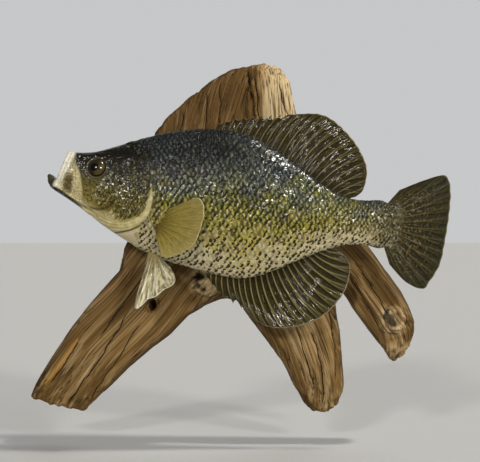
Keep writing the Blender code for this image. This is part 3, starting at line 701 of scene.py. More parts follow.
def fish_paint(add, height):
    """The painted colour of skin at a height, 0 at the belly and 1 at the back."""
    space = add("TexCoord")
    names = ("high", "head", "rear", "membrane", "cheek_skin", "paddle", "lip", "mandible", "creases")
    mask = {name: add("Attribute " + name) for name in names}
    drift = add("Math MULTIPLY_ADD", add("TexNoise", space, 26.0, 4.0), 0.3, -0.15)
    level = add("Math ADD", height, drift)
    paler_rear = add("Math MULTIPLY_ADD", mask["rear"], -0.29, 0.12)
    body_level = add("Math ADD", level, paler_rear)
    shoulder = add("MapRange", mask["rear"], 0.4, 0.0)
    contrast = add("MapRange", mask["high"], 0.12, 0.75, -0.24, 0.28)
    body_level = add("Math MULTIPLY_ADD", shoulder, contrast, body_level)
    tail_top = add("MapRange", mask["high"], 0.45, 0.8, 0.0, -0.22)
    body_level = add("Math MULTIPLY_ADD", mask["rear"], tail_top, body_level)

    body = add("ValToRGB", body_level, stops=BODY_TONES)
    slate = add("MapRange", add("TexNoise", space, 21.0, 3.0), 0.5, 0.6, 0.0, 0.75)
    rear_back = add("MapRange", mask["high"], 0.4, 0.62)
    rear_back = add("Math MULTIPLY", rear_back, add("MapRange", mask["rear"], 0.05, 0.35, 0.3, 1.0))
    slate = add("Math MULTIPLY", slate, rear_back)
    body = add("Mix RGBA", slate, body, "#485056")
    gold = add("MapRange", add("TexNoise", space, 48.0, 3.0), 0.5, 0.6, 0.0, 0.85)
    flank = add("MapRange", mask["high"], 0.14, 0.3)
    flank = add("Math MULTIPLY", flank, add("MapRange", mask["high"], 0.72, 0.5))
    gold = add("Math MULTIPLY", gold, flank)
    body = add("Mix RGBA", gold, body, "#988E34")
    violet = add("MapRange", add("TexNoise", space, 60.0, 2.0), 0.6, 0.68, 0.0, 0.5)
    body = add("Mix RGBA", add("Math MULTIPLY", violet, flank), body, "#5E5654")
    tail_base = add("MapRange", mask["rear"], 0.975, 0.9995, 0.0, 0.75)
    body = add("Mix RGBA", tail_base, body, "#4A4225")

    head = add("ValToRGB", level, stops=HEAD_TONES)
    speckle = add("MapRange", add("TexNoise", space, 520.0, 3.0, 0.6), 0.5, 0.6, 0.0, 0.85)
    above = add("MapRange", level, 0.1, 0.24)
    head = add("Mix RGBA", add("Math MULTIPLY", speckle, above), head, "#1D190F")
    # Painted glints: small light gold flecks on the lower head stand for sparkles of light.
    painted_glints = add("MapRange", add("TexNoise", space, 640.0, 2.0), 0.58, 0.66, 0.0, 0.7)
    painted_glints = add("Math MULTIPLY", painted_glints, add("MapRange", level, 0.62, 0.45))
    head = add("Mix RGBA", add("Math MULTIPLY", painted_glints, above), head, "#7A6C30")

    soft = add("TexNoise", space, 170.0, 3.0)
    fine = add("TexNoise", space, 700.0, 3.0)
    colour = add("Mix RGBA", mask["head"], body, head)
    throat = add("Mix RGBA", add("MapRange", soft, 0.35, 0.7), "#C6BB8C", "#A2935C")
    colour = add("Mix RGBA", mask["membrane"], colour, throat)
    thin_skin = add("Mix RGBA", add("MapRange", fine, 0.4, 0.6), "#BDB188", "#8E8257")
    shaded = add("MapRange", mask["high"], 0.52, 0.86, 0.0, 0.9)
    thin_skin = add("Mix RGBA", shaded, thin_skin, "#575036")
    colour = add("Mix RGBA", mask["cheek_skin"], colour, thin_skin)
    bone = add("Mix RGBA", add("MapRange", soft, 0.35, 0.65), "#61532F", "#4C4023")
    colour = add("Mix RGBA", add("MapRange", mask["paddle"], 0.05, 0.85), colour, bone)
    lip = add("Mix RGBA", add("MapRange", fine, 0.45, 0.65), "#DAD5C4", "#B8B19A")
    colour = add("Mix RGBA", mask["lip"], colour, lip)
    # The shadow side of the lower jaw and its tip are painted dark olive-grey as shade.
    jaw = add("Mix RGBA", add("MapRange", fine, 0.4, 0.6), "#4B4935", "#232219")
    colour = add("Mix RGBA", mask["mandible"], colour, jaw)
    # Painted shade darkens the folds and grooves of the head.
    return add("Mix RGBA", add("Math MULTIPLY", mask["creases"], 0.85), colour, "#1C170D")


skin_material, add, plug = start_material(
    "varnished_fish_skin", **VARNISH, Specular_IOR_Level=0.1, Coat_Weight=0.8, Coat_Roughness=0.08)
space = add("TexCoord")
colour = fish_paint(add, add("Attribute high"))
colour = add("Mix RGBA", add("Attribute eye_ring"), colour, "#443B22")
tail_root = add("Attribute tail_root")
mottle = add("MapRange", add("TexNoise", space, 380.0, 3.0), 0.42, 0.6)
mottle = add("Mix RGBA", mottle, "#262110", "#5C5433")
colour = add("Mix RGBA", tail_root, colour, mottle)
flesh = add("Mix RGBA", add("TexNoise", space, 200.0, 3.0), "#8F705C", "#B5967E")
colour = add("Mix RGBA", add("Attribute inside"), colour, flesh)
gloss = add("MapRange", add("TexNoise", space, 240.0, 3.0), 0.3, 0.7, 0.3, 0.48)
pits = add("Bump", 0.6, 0.0008, None, add("TexNoise", space, 430.0, 4.0))
lumps = add("Math MULTIPLY_ADD", add("TexNoise", space, 45.0, 1.0), 4.0, add("TexNoise", space, 420.0, 0.5))
pools = add("Bump", 1.0, 0.0018, None, lumps)
plug(Base_Color=colour, Roughness=gloss, Normal=pits, Coat_Normal=pools)
finish_with(skin, skin_material)
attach(skin, "root")
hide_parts("head", "upper_jaw", "lower_jaw", "gill_cover_left", "gill_cover_right", "trunk", "tail")

# %% [markdown]
# ## Scales
# A crappie has about forty scales along its side and two dozen rows from back to belly. Each is a thin
# bent plate, rooted under the one in front and free at its rounded rear edge, like roof tiles. Their
# sizes come from the chart: smaller near the head and the tail. One grid of points describes a scale,
# and arrays copy it to every place at once, which makes one joined mesh for each part of the flank.

# %% Places for the scales
SCALE_ROWS, SCALE_COLUMNS = 8, 8
SCALE_LENGTH, SCALE_WIDTH, SCALE_THICKNESS = 1.85, 0.82, 0.22
ROW_SHARE, LOOSENESS = 0.74, 0.21
UV_PATCH, CHART_LENGTH, CHART_HEIGHT = 0.003, 360.0, 180.0
SCALES_START, RAGGED_FROM, SCALES_END = 66.0, 322.0, 338.0
CHEEK_START, CHEEK_END, LOST_SCALES = 42.0, 101.0, 0.12
CHEEK_SPACING = ((40.0, 3.0), (70.0, 3.1), (100.0, 3.4))
SPACING = ((70.0, 3.9), (100.0, 4.8), (150.0, 5.5), (220.0, 5.4), (280.0, 4.6), (322.0, 3.7), (345.0, 2.9))
NAPE = ((66, 36.5), (75, 28), (84, 24.5), (91, 22.5))
CHEEK = ((49, -5), (47, -14), (46, -25), (53, -27.5), (60, -24), (63, -10), (62, 6), (56, 3))
OPERCLE = (
    (69, 13), (80, 21), (90, 19), (95.5, 6), (96.5, -6), (96, -20), (90, -30), (80, -35), (66, -37),
    (62, -32), (67.5, -24), (68.5, -6),
)
DICE = np.random.default_rng(11)


def inside_outline(x, z, outline):
    """True where side-view places lie inside an outline."""
    corners = np.asarray(outline)
    found = np.zeros(np.shape(x), dtype=bool)
    for (x1, z1), (x2, z2) in zip(corners, np.roll(corners, -1, axis=0)):
        crosses = (z1 > z) != (z2 > z)
        found ^= crosses & (x < (x2 - x1) * (z - z1) / (z2 - z1 + 1e-12) + x1)
    return found


def scale_places(chart, spacing, first, last):
    """A brick pattern of (along, across, spacing) over a chart."""
    result = []
    column, along = 0, first
    while along < last:
        step = np.interp(along, *np.transpose(spacing))
        row = step * ROW_SHARE
        low = np.interp(along, chart["along"], chart["belly"]) - 0.35 * row
        high = np.interp(along, chart["along"], chart["back"]) + 0.35 * row
        rows = np.arange(math.ceil(low / row), math.floor(high / row) + 1)
        rows = rows[(rows + column) % 2 == 0]
        for number in rows:
            loose = LOOSENESS * DICE.uniform(-step, step, 2)
            result.append((along + loose[0], number * row + loose[1], step))
        column += 1
        along += step / 2
    return np.array(result)


def on_flank(side, along, across, height):
    """Fish-frame points at a height above one flank, with the head's relief added."""
    chart = CHARTS[side]
    points = look_up(chart, "points", along, across)
    normals = look_up(chart, "normals", along, across)
    height = height - COAT_DEPTH + head_relief(points[..., 0], points[..., 2])
    return points + normals * height[..., None]


def grow_scales(name, side, spots, material, lift=1.0):
    """One joined mesh of scales at (along, across, spacing) places."""
    count = len(spots)
    chance = DICE.random((count, 6))
    v, u = np.meshgrid(np.linspace(0, 0.985, SCALE_ROWS), np.linspace(-1, 1, SCALE_COLUMNS), indexing="ij")
    round_end = np.sqrt(np.clip(1 - (np.clip(v - 0.42, 0, 1) / 0.58) ** 2, 0, 1))
    outline = (0.72 + 0.28 * ease(0.0, 0.4, v)) * round_end
    size = spots[:, 2] * (1 + 0.20 * (chance[:, 0] - 0.5))
    ahead = ((v - 0.62) * SCALE_LENGTH)[None] * size[:, None, None]
    sideways = (u * outline * SCALE_WIDTH)[None] * size[:, None, None]
    turn = (0.44 * (chance[:, 1] - 0.5))[:, None, None]
    along = spots[:, 0, None, None] + ahead * np.cos(turn) - sideways * np.sin(turn)
    across = spots[:, 1, None, None] + ahead * np.sin(turn) + sideways * np.cos(turn)
    tip_lift = (0.78 + 0.45 * chance[:, 2])[:, None, None] * lift
    tilt = (0.55 * (chance[:, 3] - 0.5))[:, None, None] * lift
    dome = (0.34 * (u * outline) ** 2 + 0.42 * (np.clip(v - 0.45, 0, 1) / 0.55) ** 2)[None] * lift
    rise = 1.25 * tip_lift * (v ** 1.1)[None] - 0.16 - dome + tilt * (u * outline)[None]
    top = on_flank(side, along, across, rise)
    bottom = on_flank(side, along, across, rise - SCALE_THICKNESS * lift)
    points = np.stack([top.reshape(count, -1, 3), bottom.reshape(count, -1, 3)], axis=1).reshape(-1, 3)
    one = plate_faces(SCALE_ROWS, SCALE_COLUMNS)
    if side == "right":
        one = one[:, ::-1]
    per_scale = 2 * SCALE_ROWS * SCALE_COLUMNS
    faces = (one[None] + (np.arange(count) * per_scale)[:, None, None]).reshape(-1, 4)

    def both(values):
        flat = np.broadcast_to(values, along.shape).reshape(count, 1, -1)
        return np.broadcast_to(flat, (count, 2, flat.shape[2])).ravel()

    x, z = points[:, 0], points[:, 2]
    values = masks(x, z)
    values["high"] = height_on_body(x, z)
    values["scale_u"] = both((u * outline)[None])
    values["scale_v"] = both(v[None])
    values["chance"] = both(chance[:, 4][:, None, None])
    values["chance_two"] = both(chance[:, 5][:, None, None])
    root_u = 0.03 + 0.94 * spots[:, 0] / CHART_LENGTH
    root_v = 0.5 + spots[:, 1] / CHART_HEIGHT
    uv = np.stack([both(root_u[:, None, None] + UV_PATCH / 2 * (2 * v - 1)[None]),
                   both(root_v[:, None, None] + UV_PATCH / 2 * u[None])], axis=1)
    coat = make_piece(name, to_world(points), faces, material, values, uv)
    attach(coat, "root")


# %% [markdown]
# ### The finish of a scale
# Each scale is clear in its middle and carries a dark fleck along its lower rear edge, partly pigment and
# partly painted shadow under that edge; its root, just behind the edge of the scale in front, is painted
# dark as shade. On the cream belly the flecks stand alone, and on the back they run together into a dark
# net. No two scales are alike: chance numbers change the tone, the strength of the fleck and the tilt of
# the varnish, so only the scales that happen to face the lamp flash white. The varnish is thinner over the
# upper back of the shoulder, which looks drier than the tail.

# %% Scale material
scale_material, add, plug = start_material(
    "varnished_fish_scale", **VARNISH, Specular_IOR_Level=0.1, Coat_Weight=1.0, Coat_Roughness=0.06)
space = add("TexCoord")
names = ("scale_u", "scale_v", "chance", "chance_two", "high", "head")
across_scale, along_scale, chance, chance_two, high, on_head = [add("Attribute " + name) for name in names]
tone = add("Math MULTIPLY_ADD", chance_two, 0.22, -0.11)
paint = fish_paint(add, add("Math ADD", high, tone))

free = add("MapRange", along_scale, 0.42, 1.0)
place = add("CombineXYZ", across_scale, free)
blur = add("TexNoise", space, 420.0, 3.0, 0.6, out="Color")
blur = add("VectorMath SUBTRACT", blur, (0.5, 0.5, 0.5))
place = add("VectorMath MULTIPLY_ADD", blur, (1.1, 1.1, 0.0), place)
radius = add("VectorMath LENGTH", add("VectorMath MULTIPLY", place, (0.8, 1.25, 0.0)))
sideways = add("Math MULTIPLY_ADD", chance, 0.3, add("SeparateXYZ", place))
blotch = add("TexNoise", space, 120.0, 2.0)

# The fleck along the lower rear edge is partly pigment and partly painted shadow under that edge.
lower = add("MapRange", sideways, 0.42, 0.2)
rim = add("MapRange", radius, 0.63, 0.74)
fleck = add("Math MULTIPLY", lower, rim)
fleck = add("Math MULTIPLY", fleck, add("MapRange", chance_two, 0.02, 0.22))
net = add("MapRange", radius, 0.52, 0.76)
# The root, just behind the edge of the scale in front, is painted dark as shade.
net = add("Math MAXIMUM", net, add("MapRange", along_scale, 0.64, 0.46))
net_here = add("Math MULTIPLY_ADD", blotch, 0.9, high)
rear = add("Attribute rear")
net_here = add("Math MULTIPLY_ADD", rear, -0.1, net_here)
net_here = add("MapRange", net_here, 0.49, 0.85, 0.05, 0.86)
net_here = add("Math MULTIPLY", net_here, add("MapRange", on_head, 0.0, 1.0, 1.0, 0.45))
net = add("Math MULTIPLY", net, net_here)
dark = add("Math MAXIMUM", fleck, net)
dark = add("Math MULTIPLY", dark, add("MapRange", on_head, 0.0, 1.0, 0.95, 0.7))

clear = add("MapRange", radius, 0.55, 0.2)
clear = add("Math MULTIPLY", clear, add("MapRange", chance, 0.1))
clear = add("Math MULTIPLY", clear, add("MapRange", high, 0.5, 0.8, 1.0, 0.3))
pale = add("Mix RGBA", 0.55, paint, "#DCD8B0")
colour = add("Mix RGBA", clear, paint, pale)
# One dark colour serves both the pigment and the painted shade.
ink_and_shade = add("Mix RGBA", add("MapRange", high, 0.4, 0.8), "#191409", "#0B0D0F")
plug(Base_Color=add("Mix RGBA", dark, colour, ink_and_shade))
plug(Roughness=add("MapRange", add("TexNoise", space, 300.0, 3.0), 0.3, 0.7, 0.26, 0.44))

lean_across = add("Math MULTIPLY_ADD", chance, 0.8, -0.4)
lean_along = add("Math MULTIPLY_ADD", chance_two, 1.6, -0.8)
lean = add("CombineXYZ", lean_across, lean_along)
lean = add("VectorMath DOT_PRODUCT", lean, add("CombineXYZ", across_scale, along_scale))
pool = add("Math MULTIPLY_ADD", add("TexNoise", space, 520.0, 0.5), 0.6, lean)
pool = add("Math MULTIPLY_ADD", add("TexNoise", space, 32.0, 1.0), 6.0, pool)
plug(Coat_Normal=add("Bump", 1.0, 0.0008, None, pool))
dry = add("MapRange", rear, 0.5, 0.25)
dry = add("Math MULTIPLY", dry, add("MapRange", high, 0.46, 0.64))
plug(Coat_Weight=add("Math MULTIPLY_ADD", dry, -0.72, 0.92))

for side, chart in CHARTS.items():
    spots = scale_places(chart, SPACING, SCALES_START, SCALES_END)
    x, z = look_up(chart, "points", spots[:, 0], spots[:, 1])[:, ::2].T
    edge, nape = line_distance(x, z, GILL_EDGE)[0], line_distance(x, z, NAPE)[0]
    behind = ((edge > 1.2) | (z >= 24.0)) & ((nape > 0.5) | (x > 91.0))
    behind &= ~((x < 92.0) & (z < -50.0) & (edge < 3.0))
    behind &= DICE.random(len(spots)) > ease(RAGGED_FROM, SCALES_END, spots[:, 0])
    spots, z_up = spots[behind], (spots[:, 1] > 0)[behind]
    grow_scales(f"back_scales_{side}", side, spots[z_up], scale_material)
    grow_scales(f"belly_scales_{side}", side, spots[~z_up], scale_material)
    small = scale_places(chart, CHEEK_SPACING, CHEEK_START, CHEEK_END)
    x, z = look_up(chart, "points", small[:, 0], small[:, 1])[:, ::2].T
    cheek = inside_outline(x, z, CHEEK) | inside_outline(x, z, OPERCLE)
    cheek &= DICE.random(len(small)) > LOST_SCALES
    grow_scales(f"cheek_scales_{side}", side, small[cheek], scale_material, lift=0.55)

# %% [markdown]
# ## Fins
# A fin is a thin web stretched over rays. The rays fan out from the base, get thinner outward, and the
# soft ones split in two and split again near the edge, while the front ones are single sharp spines
# that stand out of the web. Each fin is one closed plate whose thickness follows that pattern.

# %% Fin maker
WEB_HALF = 0.27
PER_GAP = 10


def along_curve(points, shares):
    """Points at shares of the length of a smooth curve."""
    curve = on_curve(points, np.linspace(0, len(points) - 1, 500))
    length = walked(curve)
    return np.stack([np.interp(shares * length[-1], length, curve[:, k]) for k in (0, 1)], axis=1)


def grow_fin(name, base, edge, rays, place, material, spines=0, bow=0.0, web=0.992, spine_web=0.80,
             pleat=0.25, ray_height=0.5, ray_width=0.13, root_flesh=1.0, rows=44, seed=0):
    """Make a rayed fin between its base line and its edge line, given as side-view points."""
    columns = (rays - 1) * PER_GAP + 1
    share = np.linspace(0, 1, columns)
    phase = share * (rays - 1)
    off = (phase - np.round(phase))[None]
    roots, tips = along_curve(base, share), along_curve(edge, share)
    t = np.linspace(-0.07, 1.0, rows)[:, None]
    spiny = ease(spines - 0.2, spines - 0.8, phase)[None] if spines else np.zeros((1, columns))
    dip = spiny * (1 - spine_web) * np.abs(2 * off) ** 0.55 + (1 - spiny) * (1 - web) * np.abs(2 * off)
    span = (tips - roots)[None] * (1 - dip)[..., None]
    across = np.stack([-span[..., 1], span[..., 0]], axis=-1) * bow
    spot = roots[None] + span * t[..., None] + across * (4 * t * (1 - t))[..., None]
    reach = np.maximum(t, 0)
    split = 0.20 * ease(0.42, 0.95, reach) * (1 - spiny)
    second = 0.085 * ease(0.70, 1.0, reach) * (1 - spiny)
    gaps = [np.abs(off - first * split - last * second) for first in (-1, 1) for last in (-1, 1)]
    width = ray_width * (1 - 0.5 * reach)
    ray = ridge(np.min(gaps, axis=0), width)
    distance = np.linalg.norm(spot - roots[None], axis=-1) * np.sign(t)
    middle = place(spot, distance)
    ripple = wander(phase[None] * 0.45, t * 5.0, seed + 0.5, seed)
    middle[..., 1] += -pleat * np.cos(2 * math.pi * off) * np.clip(2 * t, 0, 1) + 0.5 * ripple * reach
    half = WEB_HALF + ray_height * (1 - 0.72 * reach) * ray + root_flesh * np.exp(-np.maximum(t, 0) / 0.05)
    half = half * ease(1.0, 0.985, np.broadcast_to(reach, half.shape)) ** 0.5 * 0.6 + half * 0.4
    front, back = middle.copy(), middle.copy()
    front[..., 1] -= half
    back[..., 1] += half
    points = np.concatenate([front.reshape(-1, 3), back.reshape(-1, 3)])
    values = {"ray": ray, "reach": np.broadcast_to(reach, ray.shape),
              "share": np.broadcast_to(phase[None], ray.shape)}
    values = {key: np.tile(data.ravel(), 2) for key, data in values.items()}
    fin = make_piece(name, to_world(points), plate_faces(rows, columns)[:, ::-1], material, values)
    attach(fin, "root")
    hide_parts(name.replace("rayed_", ""))
    return fin


# %% [markdown]
# ### Fin finishes
# The middle fins are dark olive webs with paler rays, pale flecks in rows and a thin light rim; the rays are
# paler partly in their own colour and partly as painted highlights along their glossy ridges. The breast
# fins are amber and the belly fins are silvery white with a yellow root and near-white rays, which are
# partly painted highlights as well. The varnish pooled toward the edge of most fins, and toward the base of
# the tail fin.

# %% Fin materials
def fin_material(name, colours, flecked, gloss, varnish=(0.30, 0.85), pale_tip=0.0):
    """A varnished fin: colours for its webs, their shade, rays, rim, root and flecks.

    The two numbers of varnish are the weight of the clear coat near the base and near the edge.
    """
    web, shade, ray, rim, root, fleck = colours
    material, add, plug = start_material(name, **VARNISH, Specular_IOR_Level=0.08, Coat_Roughness=gloss)
    space = add("TexCoord")
    reach, on_ray, share = [add("Attribute " + key) for key in ("reach", "ray", "share")]
    along = add("CombineXYZ", add("Math MULTIPLY", share, 3.0), add("Math MULTIPLY", reach, 3.0))
    streak = add("TexNoise", along, 1.6, 4.0, 0.6)
    rows = add("CombineXYZ", add("Math MULTIPLY", share, 2.2), add("Math MULTIPLY", reach, 26.0))
    mottle = add("TexNoise", rows, 1.0, 3.0, 0.6)
    colour = add("Mix RGBA", add("MapRange", streak, 0.38, 0.62), web, shade)
    # Rays are painted paler, partly in their own colour and partly as painted highlight along their glossy
    # ridges.
    ray_and_highlight = add("MapRange", on_ray, 0.45, 0.95, 0.0, 0.9)
    ray_and_highlight = add("Math MULTIPLY", ray_and_highlight, add("MapRange", reach, 0.25, 0.9, 1.0, 0.35))
    colour = add("Mix RGBA", ray_and_highlight, colour, ray)
    spots = add("MapRange", mottle, 0.53, 0.63, 0.0, flecked)
    spots = add("Math MULTIPLY", spots, add("MapRange", reach, 0.85, 0.4, 0.15, 1.0))
    colour = add("Mix RGBA", spots, colour, fleck)
    ragged = add("Math MULTIPLY_ADD", streak, 0.5, reach)
    colour = add("Mix RGBA", add("MapRange", ragged, 0.62, 0.2, 0.0, 0.85), colour, root)
    colour = add("Mix RGBA", add("MapRange", ragged, 0.6, 1.3, 0.0, pale_tip), colour, rim)
    colour = add("Mix RGBA", add("MapRange", reach, 0.98, 0.995), colour, rim)
    plug(Base_Color=colour)
    plug(Roughness=add("MapRange", mottle, 0.3, 0.7, 0.25, 0.45))
    beads = add("Math MULTIPLY", add("Math SINE", add("Math MULTIPLY", reach, 210.0)), on_ray)
    lumps = add("TexNoise", space, 330.0, 4.0, 0.6)
    relief = add("Math MULTIPLY_ADD", beads, 0.12, lumps)
    relief = add("Math MULTIPLY_ADD", streak, 0.8, relief)
    plug(Normal=add("Bump", 0.7, 0.001, None, relief))
    runs = add("CombineXYZ", add("Math MULTIPLY", share, 5.5), add("Math MULTIPLY", reach, 1.4))
    pools = add("Math MULTIPLY_ADD", add("TexNoise", space, 90.0, 0.0), 0.6, add("TexNoise", runs, 1.0, 1.0))
    plug(Coat_Normal=add("Bump", 1.0, 0.0022, None, pools))
    plug(Coat_Weight=add("MapRange", reach, 0.1, 0.7, *varnish))
    return material


# The ray colours are partly painted highlight, the near-white rays of the belly fins most of all.
dark_fin = fin_material(
    "varnished_dark_fin", ("#1B1502", "#2B2304", "#978B59", "#8E866A", "#151005", "#5E532C"), 0.35, 0.08)
tail_fin = fin_material(
    "varnished_speckled_tail_fin", ("#1C1B10", "#2A2814", "#5A5130", "#6C6A50", "#3C3318", "#7E6A34"),
    0.75, 0.08, varnish=(0.85, 0.10))
amber_fin = fin_material(
    "varnished_amber_fin", ("#8C7B33", "#66571F", "#9A8C44", "#B8AC78", "#3A270B", "#A89A5C"),
    0.3, 0.12, pale_tip=0.27)
pale_fin = fin_material(
    "varnished_silver_fin", ("#CDC5A2", "#6C6030", "#F2EEDC", "#F0ECDC", "#9A8646", "#E2DBC0"), 0.4, 0.08)

# %% [markdown]
# ### The seven fins
# The same outlines as in the solid model place the fins: dorsal, anal and tail fin stand on the middle
# line, and each breast fin leaves its flank at an angle, with the near one held open.

# %% Grow the fins
DORSAL_BASE = (
    (148.5, 62), (172, 61.8), (194.8, 55.6), (213.6, 48), (234.8, 38), (256.2, 26.6), (286, 17.4),
)
DORSAL_EDGE = (
    (150.5, 68.5), (170, 77.5), (198.9, 85.3), (218.7, 89.1), (243.2, 93.7), (260.5, 89.2), (280.5, 74.6),
    (292.7, 60.1), (298.8, 46.5), (297.9, 28.8), (291.5, 20.5),
)
ANAL_BASE = ((162, -71.6), (183.9, -73.6), (204.8, -70.4), (222.8, -61.8), (249.3, -45.6), (274, -31))
ANAL_EDGE = (
    (163.5, -78.6), (172.3, -87.6), (182.4, -95.6), (202.2, -103), (219.4, -112.8), (236, -116),
    (259.8, -109.9), (277.5, -99.2), (289.6, -84.5), (297.3, -66.7), (297.8, -46), (289, -35),
    (279.5, -31.6),
)
CAUDAL_BASE = ((322, 18.6), (325.5, 8), (326.5, -2), (327, -12), (325.5, -20.6))
CAUDAL_EDGE = (
    (332, 34.2), (355, 48.1), (372.4, 54.9), (379.4, 43), (382, 20), (382.3, -8), (381, -30), (374, -48),
    (368.5, -55.7), (352, -51.6), (334, -37.6),
)
PECTORAL_BASE = ((111.5, -26), (110.3, -35), (109.6, -43))
PECTORAL_EDGE = (
    (117, -21.6), (131, -12.4), (145, -5.6), (152, -15), (152, -30), (148.2, -47.8), (138, -58.4),
    (122, -66), (113.5, -55),
)
PELVIC_BASE = ((105, -64.2), (110, -65.6), (116, -67))
PELVIC_EDGE = ((103.6, -86), (101.3, -118.5), (113.6, -109.1), (126.4, -98.2), (134.6, -87.5), (127.5, -75))


def on_middle(spots, distance):
    """A fin that stands on the fish's middle line."""
    return np.stack([spots[..., 0], middle_of_body(spots[..., 0]), spots[..., 1]], axis=-1)


def leaning(root_y, slope):
    """A fin that leaves its root at an angle to the middle plane."""
    def place(spots, distance):
        return np.stack([spots[..., 0], root_y + slope * distance, spots[..., 1]], axis=-1)
    return place


def nearest_on_flank(side, x, z):
    """The point and normal of one flank at a side-view place."""
    chart = CHARTS[side]
    gaps = np.hypot(chart["points"][..., 0] - x, chart["points"][..., 2] - z)
    gaps = np.where(chart["normals"][..., 1] * SIDES[side] > 0.1, gaps, 1e9)
    spot = np.unravel_index(np.argmin(gaps), gaps.shape)
    return chart["points"][spot], chart["normals"][spot]


dorsal = grow_fin("rayed_dorsal_fin", DORSAL_BASE, DORSAL_EDGE, 24, on_middle, dark_fin, spines=8, bow=0.07,
                  ray_width=0.12, seed=3)
anal = grow_fin("rayed_anal_fin", ANAL_BASE, ANAL_EDGE, 24, on_middle, dark_fin, spines=6, bow=-0.07,
                ray_width=0.18, ray_height=0.65, seed=5)
caudal = grow_fin("rayed_caudal_fin", CAUDAL_BASE, CAUDAL_EDGE, 19, on_middle, tail_fin, root_flesh=1.2,
                  ray_width=0.16, seed=7)
for side, sign in SIDES.items():
    root = nearest_on_flank(side, *PECTORAL_BASE[1])[0]
    lean = 0.42 if side == "left" else 0.04
    pectoral_place = leaning(root[1] - sign * 0.8, sign * lean)
    pectoral = grow_fin(f"rayed_pectoral_fin_{side}", PECTORAL_BASE, PECTORAL_EDGE, 13, pectoral_place,
                        amber_fin, pleat=0.2, ray_height=0.3, root_flesh=0.8, seed=9)
    pelvic_place = leaning(sign * 5.0 + middle_of_body(PELVIC_BASE[1][0]), sign * 0.28)
    pelvic = grow_fin(f"rayed_pelvic_fin_{side}", PELVIC_BASE, PELVIC_EDGE, 6, pelvic_place,
                      pale_fin, pleat=2.3, ray_height=0.3, root_flesh=1.2, web=0.95, seed=12)

# %% [markdown]
# ## Glass eyes
# Taxidermy eyes are lenses of clear glass painted on the back. Seen from outside they show a deep pupil,
# a bronze iris with fine radial fibres and a dark outer rim, under a very glossy dome. The pupil of a
# crappie sits a little forward. Each eye is turned to face squarely out of its cheek.

# %% Make the eyes
eye_material, add, plug = start_material(
    "painted_glass_eye", **VARNISH, Roughness=0.3, Specular_IOR_Level=0.1, Coat_Weight=1.0,
    Coat_Roughness=0.02)
eye_x, eye_z = [add("Attribute " + name) for name in ("eye_x", "eye_z")]
plane = add("CombineXYZ", eye_x, eye_z)
from_rim = add("VectorMath LENGTH", plane)
shifted = add("VectorMath SUBTRACT", plane, (-1.6, -0.6, 0.0))
from_pupil = add("VectorMath LENGTH", shifted)
turn = add("VectorMath NORMALIZE", shifted)
fibres = add("TexNoise", turn, 9.0, 4.0)
iris = add("Mix RGBA", add("MapRange", fibres, 0.35, 0.65), "#2C220D", "#544822")
front = add("Math MULTIPLY_ADD", eye_z, -0.4, eye_x)
iris = add("Mix RGBA", add("MapRange", front, 4.5, -1.0, 0.0, 0.75), iris, "#0B0804")
colour = add("Mix RGBA", add("MapRange", from_pupil, 4.1, 3.5), iris, "#020202")
plug(Base_Color=add("Mix RGBA", add("MapRange", from_rim, 7.4, 8.0), colour, "#0E0A05"))

EYE_RADIUS, EYE_DEPTH, EYE_PROUD = 8.9, 5.0, 3.0
for side, sign in SIDES.items():
    cheek, outward = nearest_on_flank(side, *EYE_CENTRE)
    outward = outward / np.linalg.norm(outward)
    sideways = np.cross([0.0, 0.0, 1.0], outward) * -sign
    sideways /= np.linalg.norm(sideways)
    upward = np.cross(sideways, outward) * sign
    polar = np.linspace(0.02, math.pi - 0.02, 44)[:, None]
    turn = np.linspace(0, 2 * math.pi, 72, endpoint=False)[None]
    from_axis = EYE_RADIUS * np.sin(polar)
    flat_x, flat_z = from_axis * np.cos(turn), from_axis * np.sin(turn)
    dome = EYE_DEPTH * np.cos(polar) + 0.4 * ridge(from_axis, 4.4) * (polar < 1.5)
    dome = np.broadcast_to(dome, flat_x.shape)
    middle = cheek - outward * (EYE_DEPTH - EYE_PROUD)
    rings = middle + flat_x[..., None] * sideways + flat_z[..., None] * upward + dome[..., None] * outward
    eye = closed_tube(f"glass_eye_{side}", to_world(rings), to_world(end_middles(rings)))
    store(eye.data, {"eye_x": np.append(flat_x, [0.0, 0.0]), "eye_z": np.append(flat_z, [0.0, 0.0])})
    eye.data.shade_smooth()
    finish_with(eye, eye_material)
    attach(eye, "root")
    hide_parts(f"eye_{side}")
    low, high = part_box(f"eye_{side}")
    print(f"glass_eye_{side}: centre", middle.round(1), "solid eye in x", round(low.x, 4), round(high.x, 4))

# %% [markdown]
# ## Driftwood
# Water and sand wear the soft parts of the wood away and leave its fibres standing, so driftwood shows
# long ridges and open cracks that run along every limb, and twisted knots where branches broke off. The
# solid wood is remeshed finely, and each limb's own centre line gives the direction of its grain.

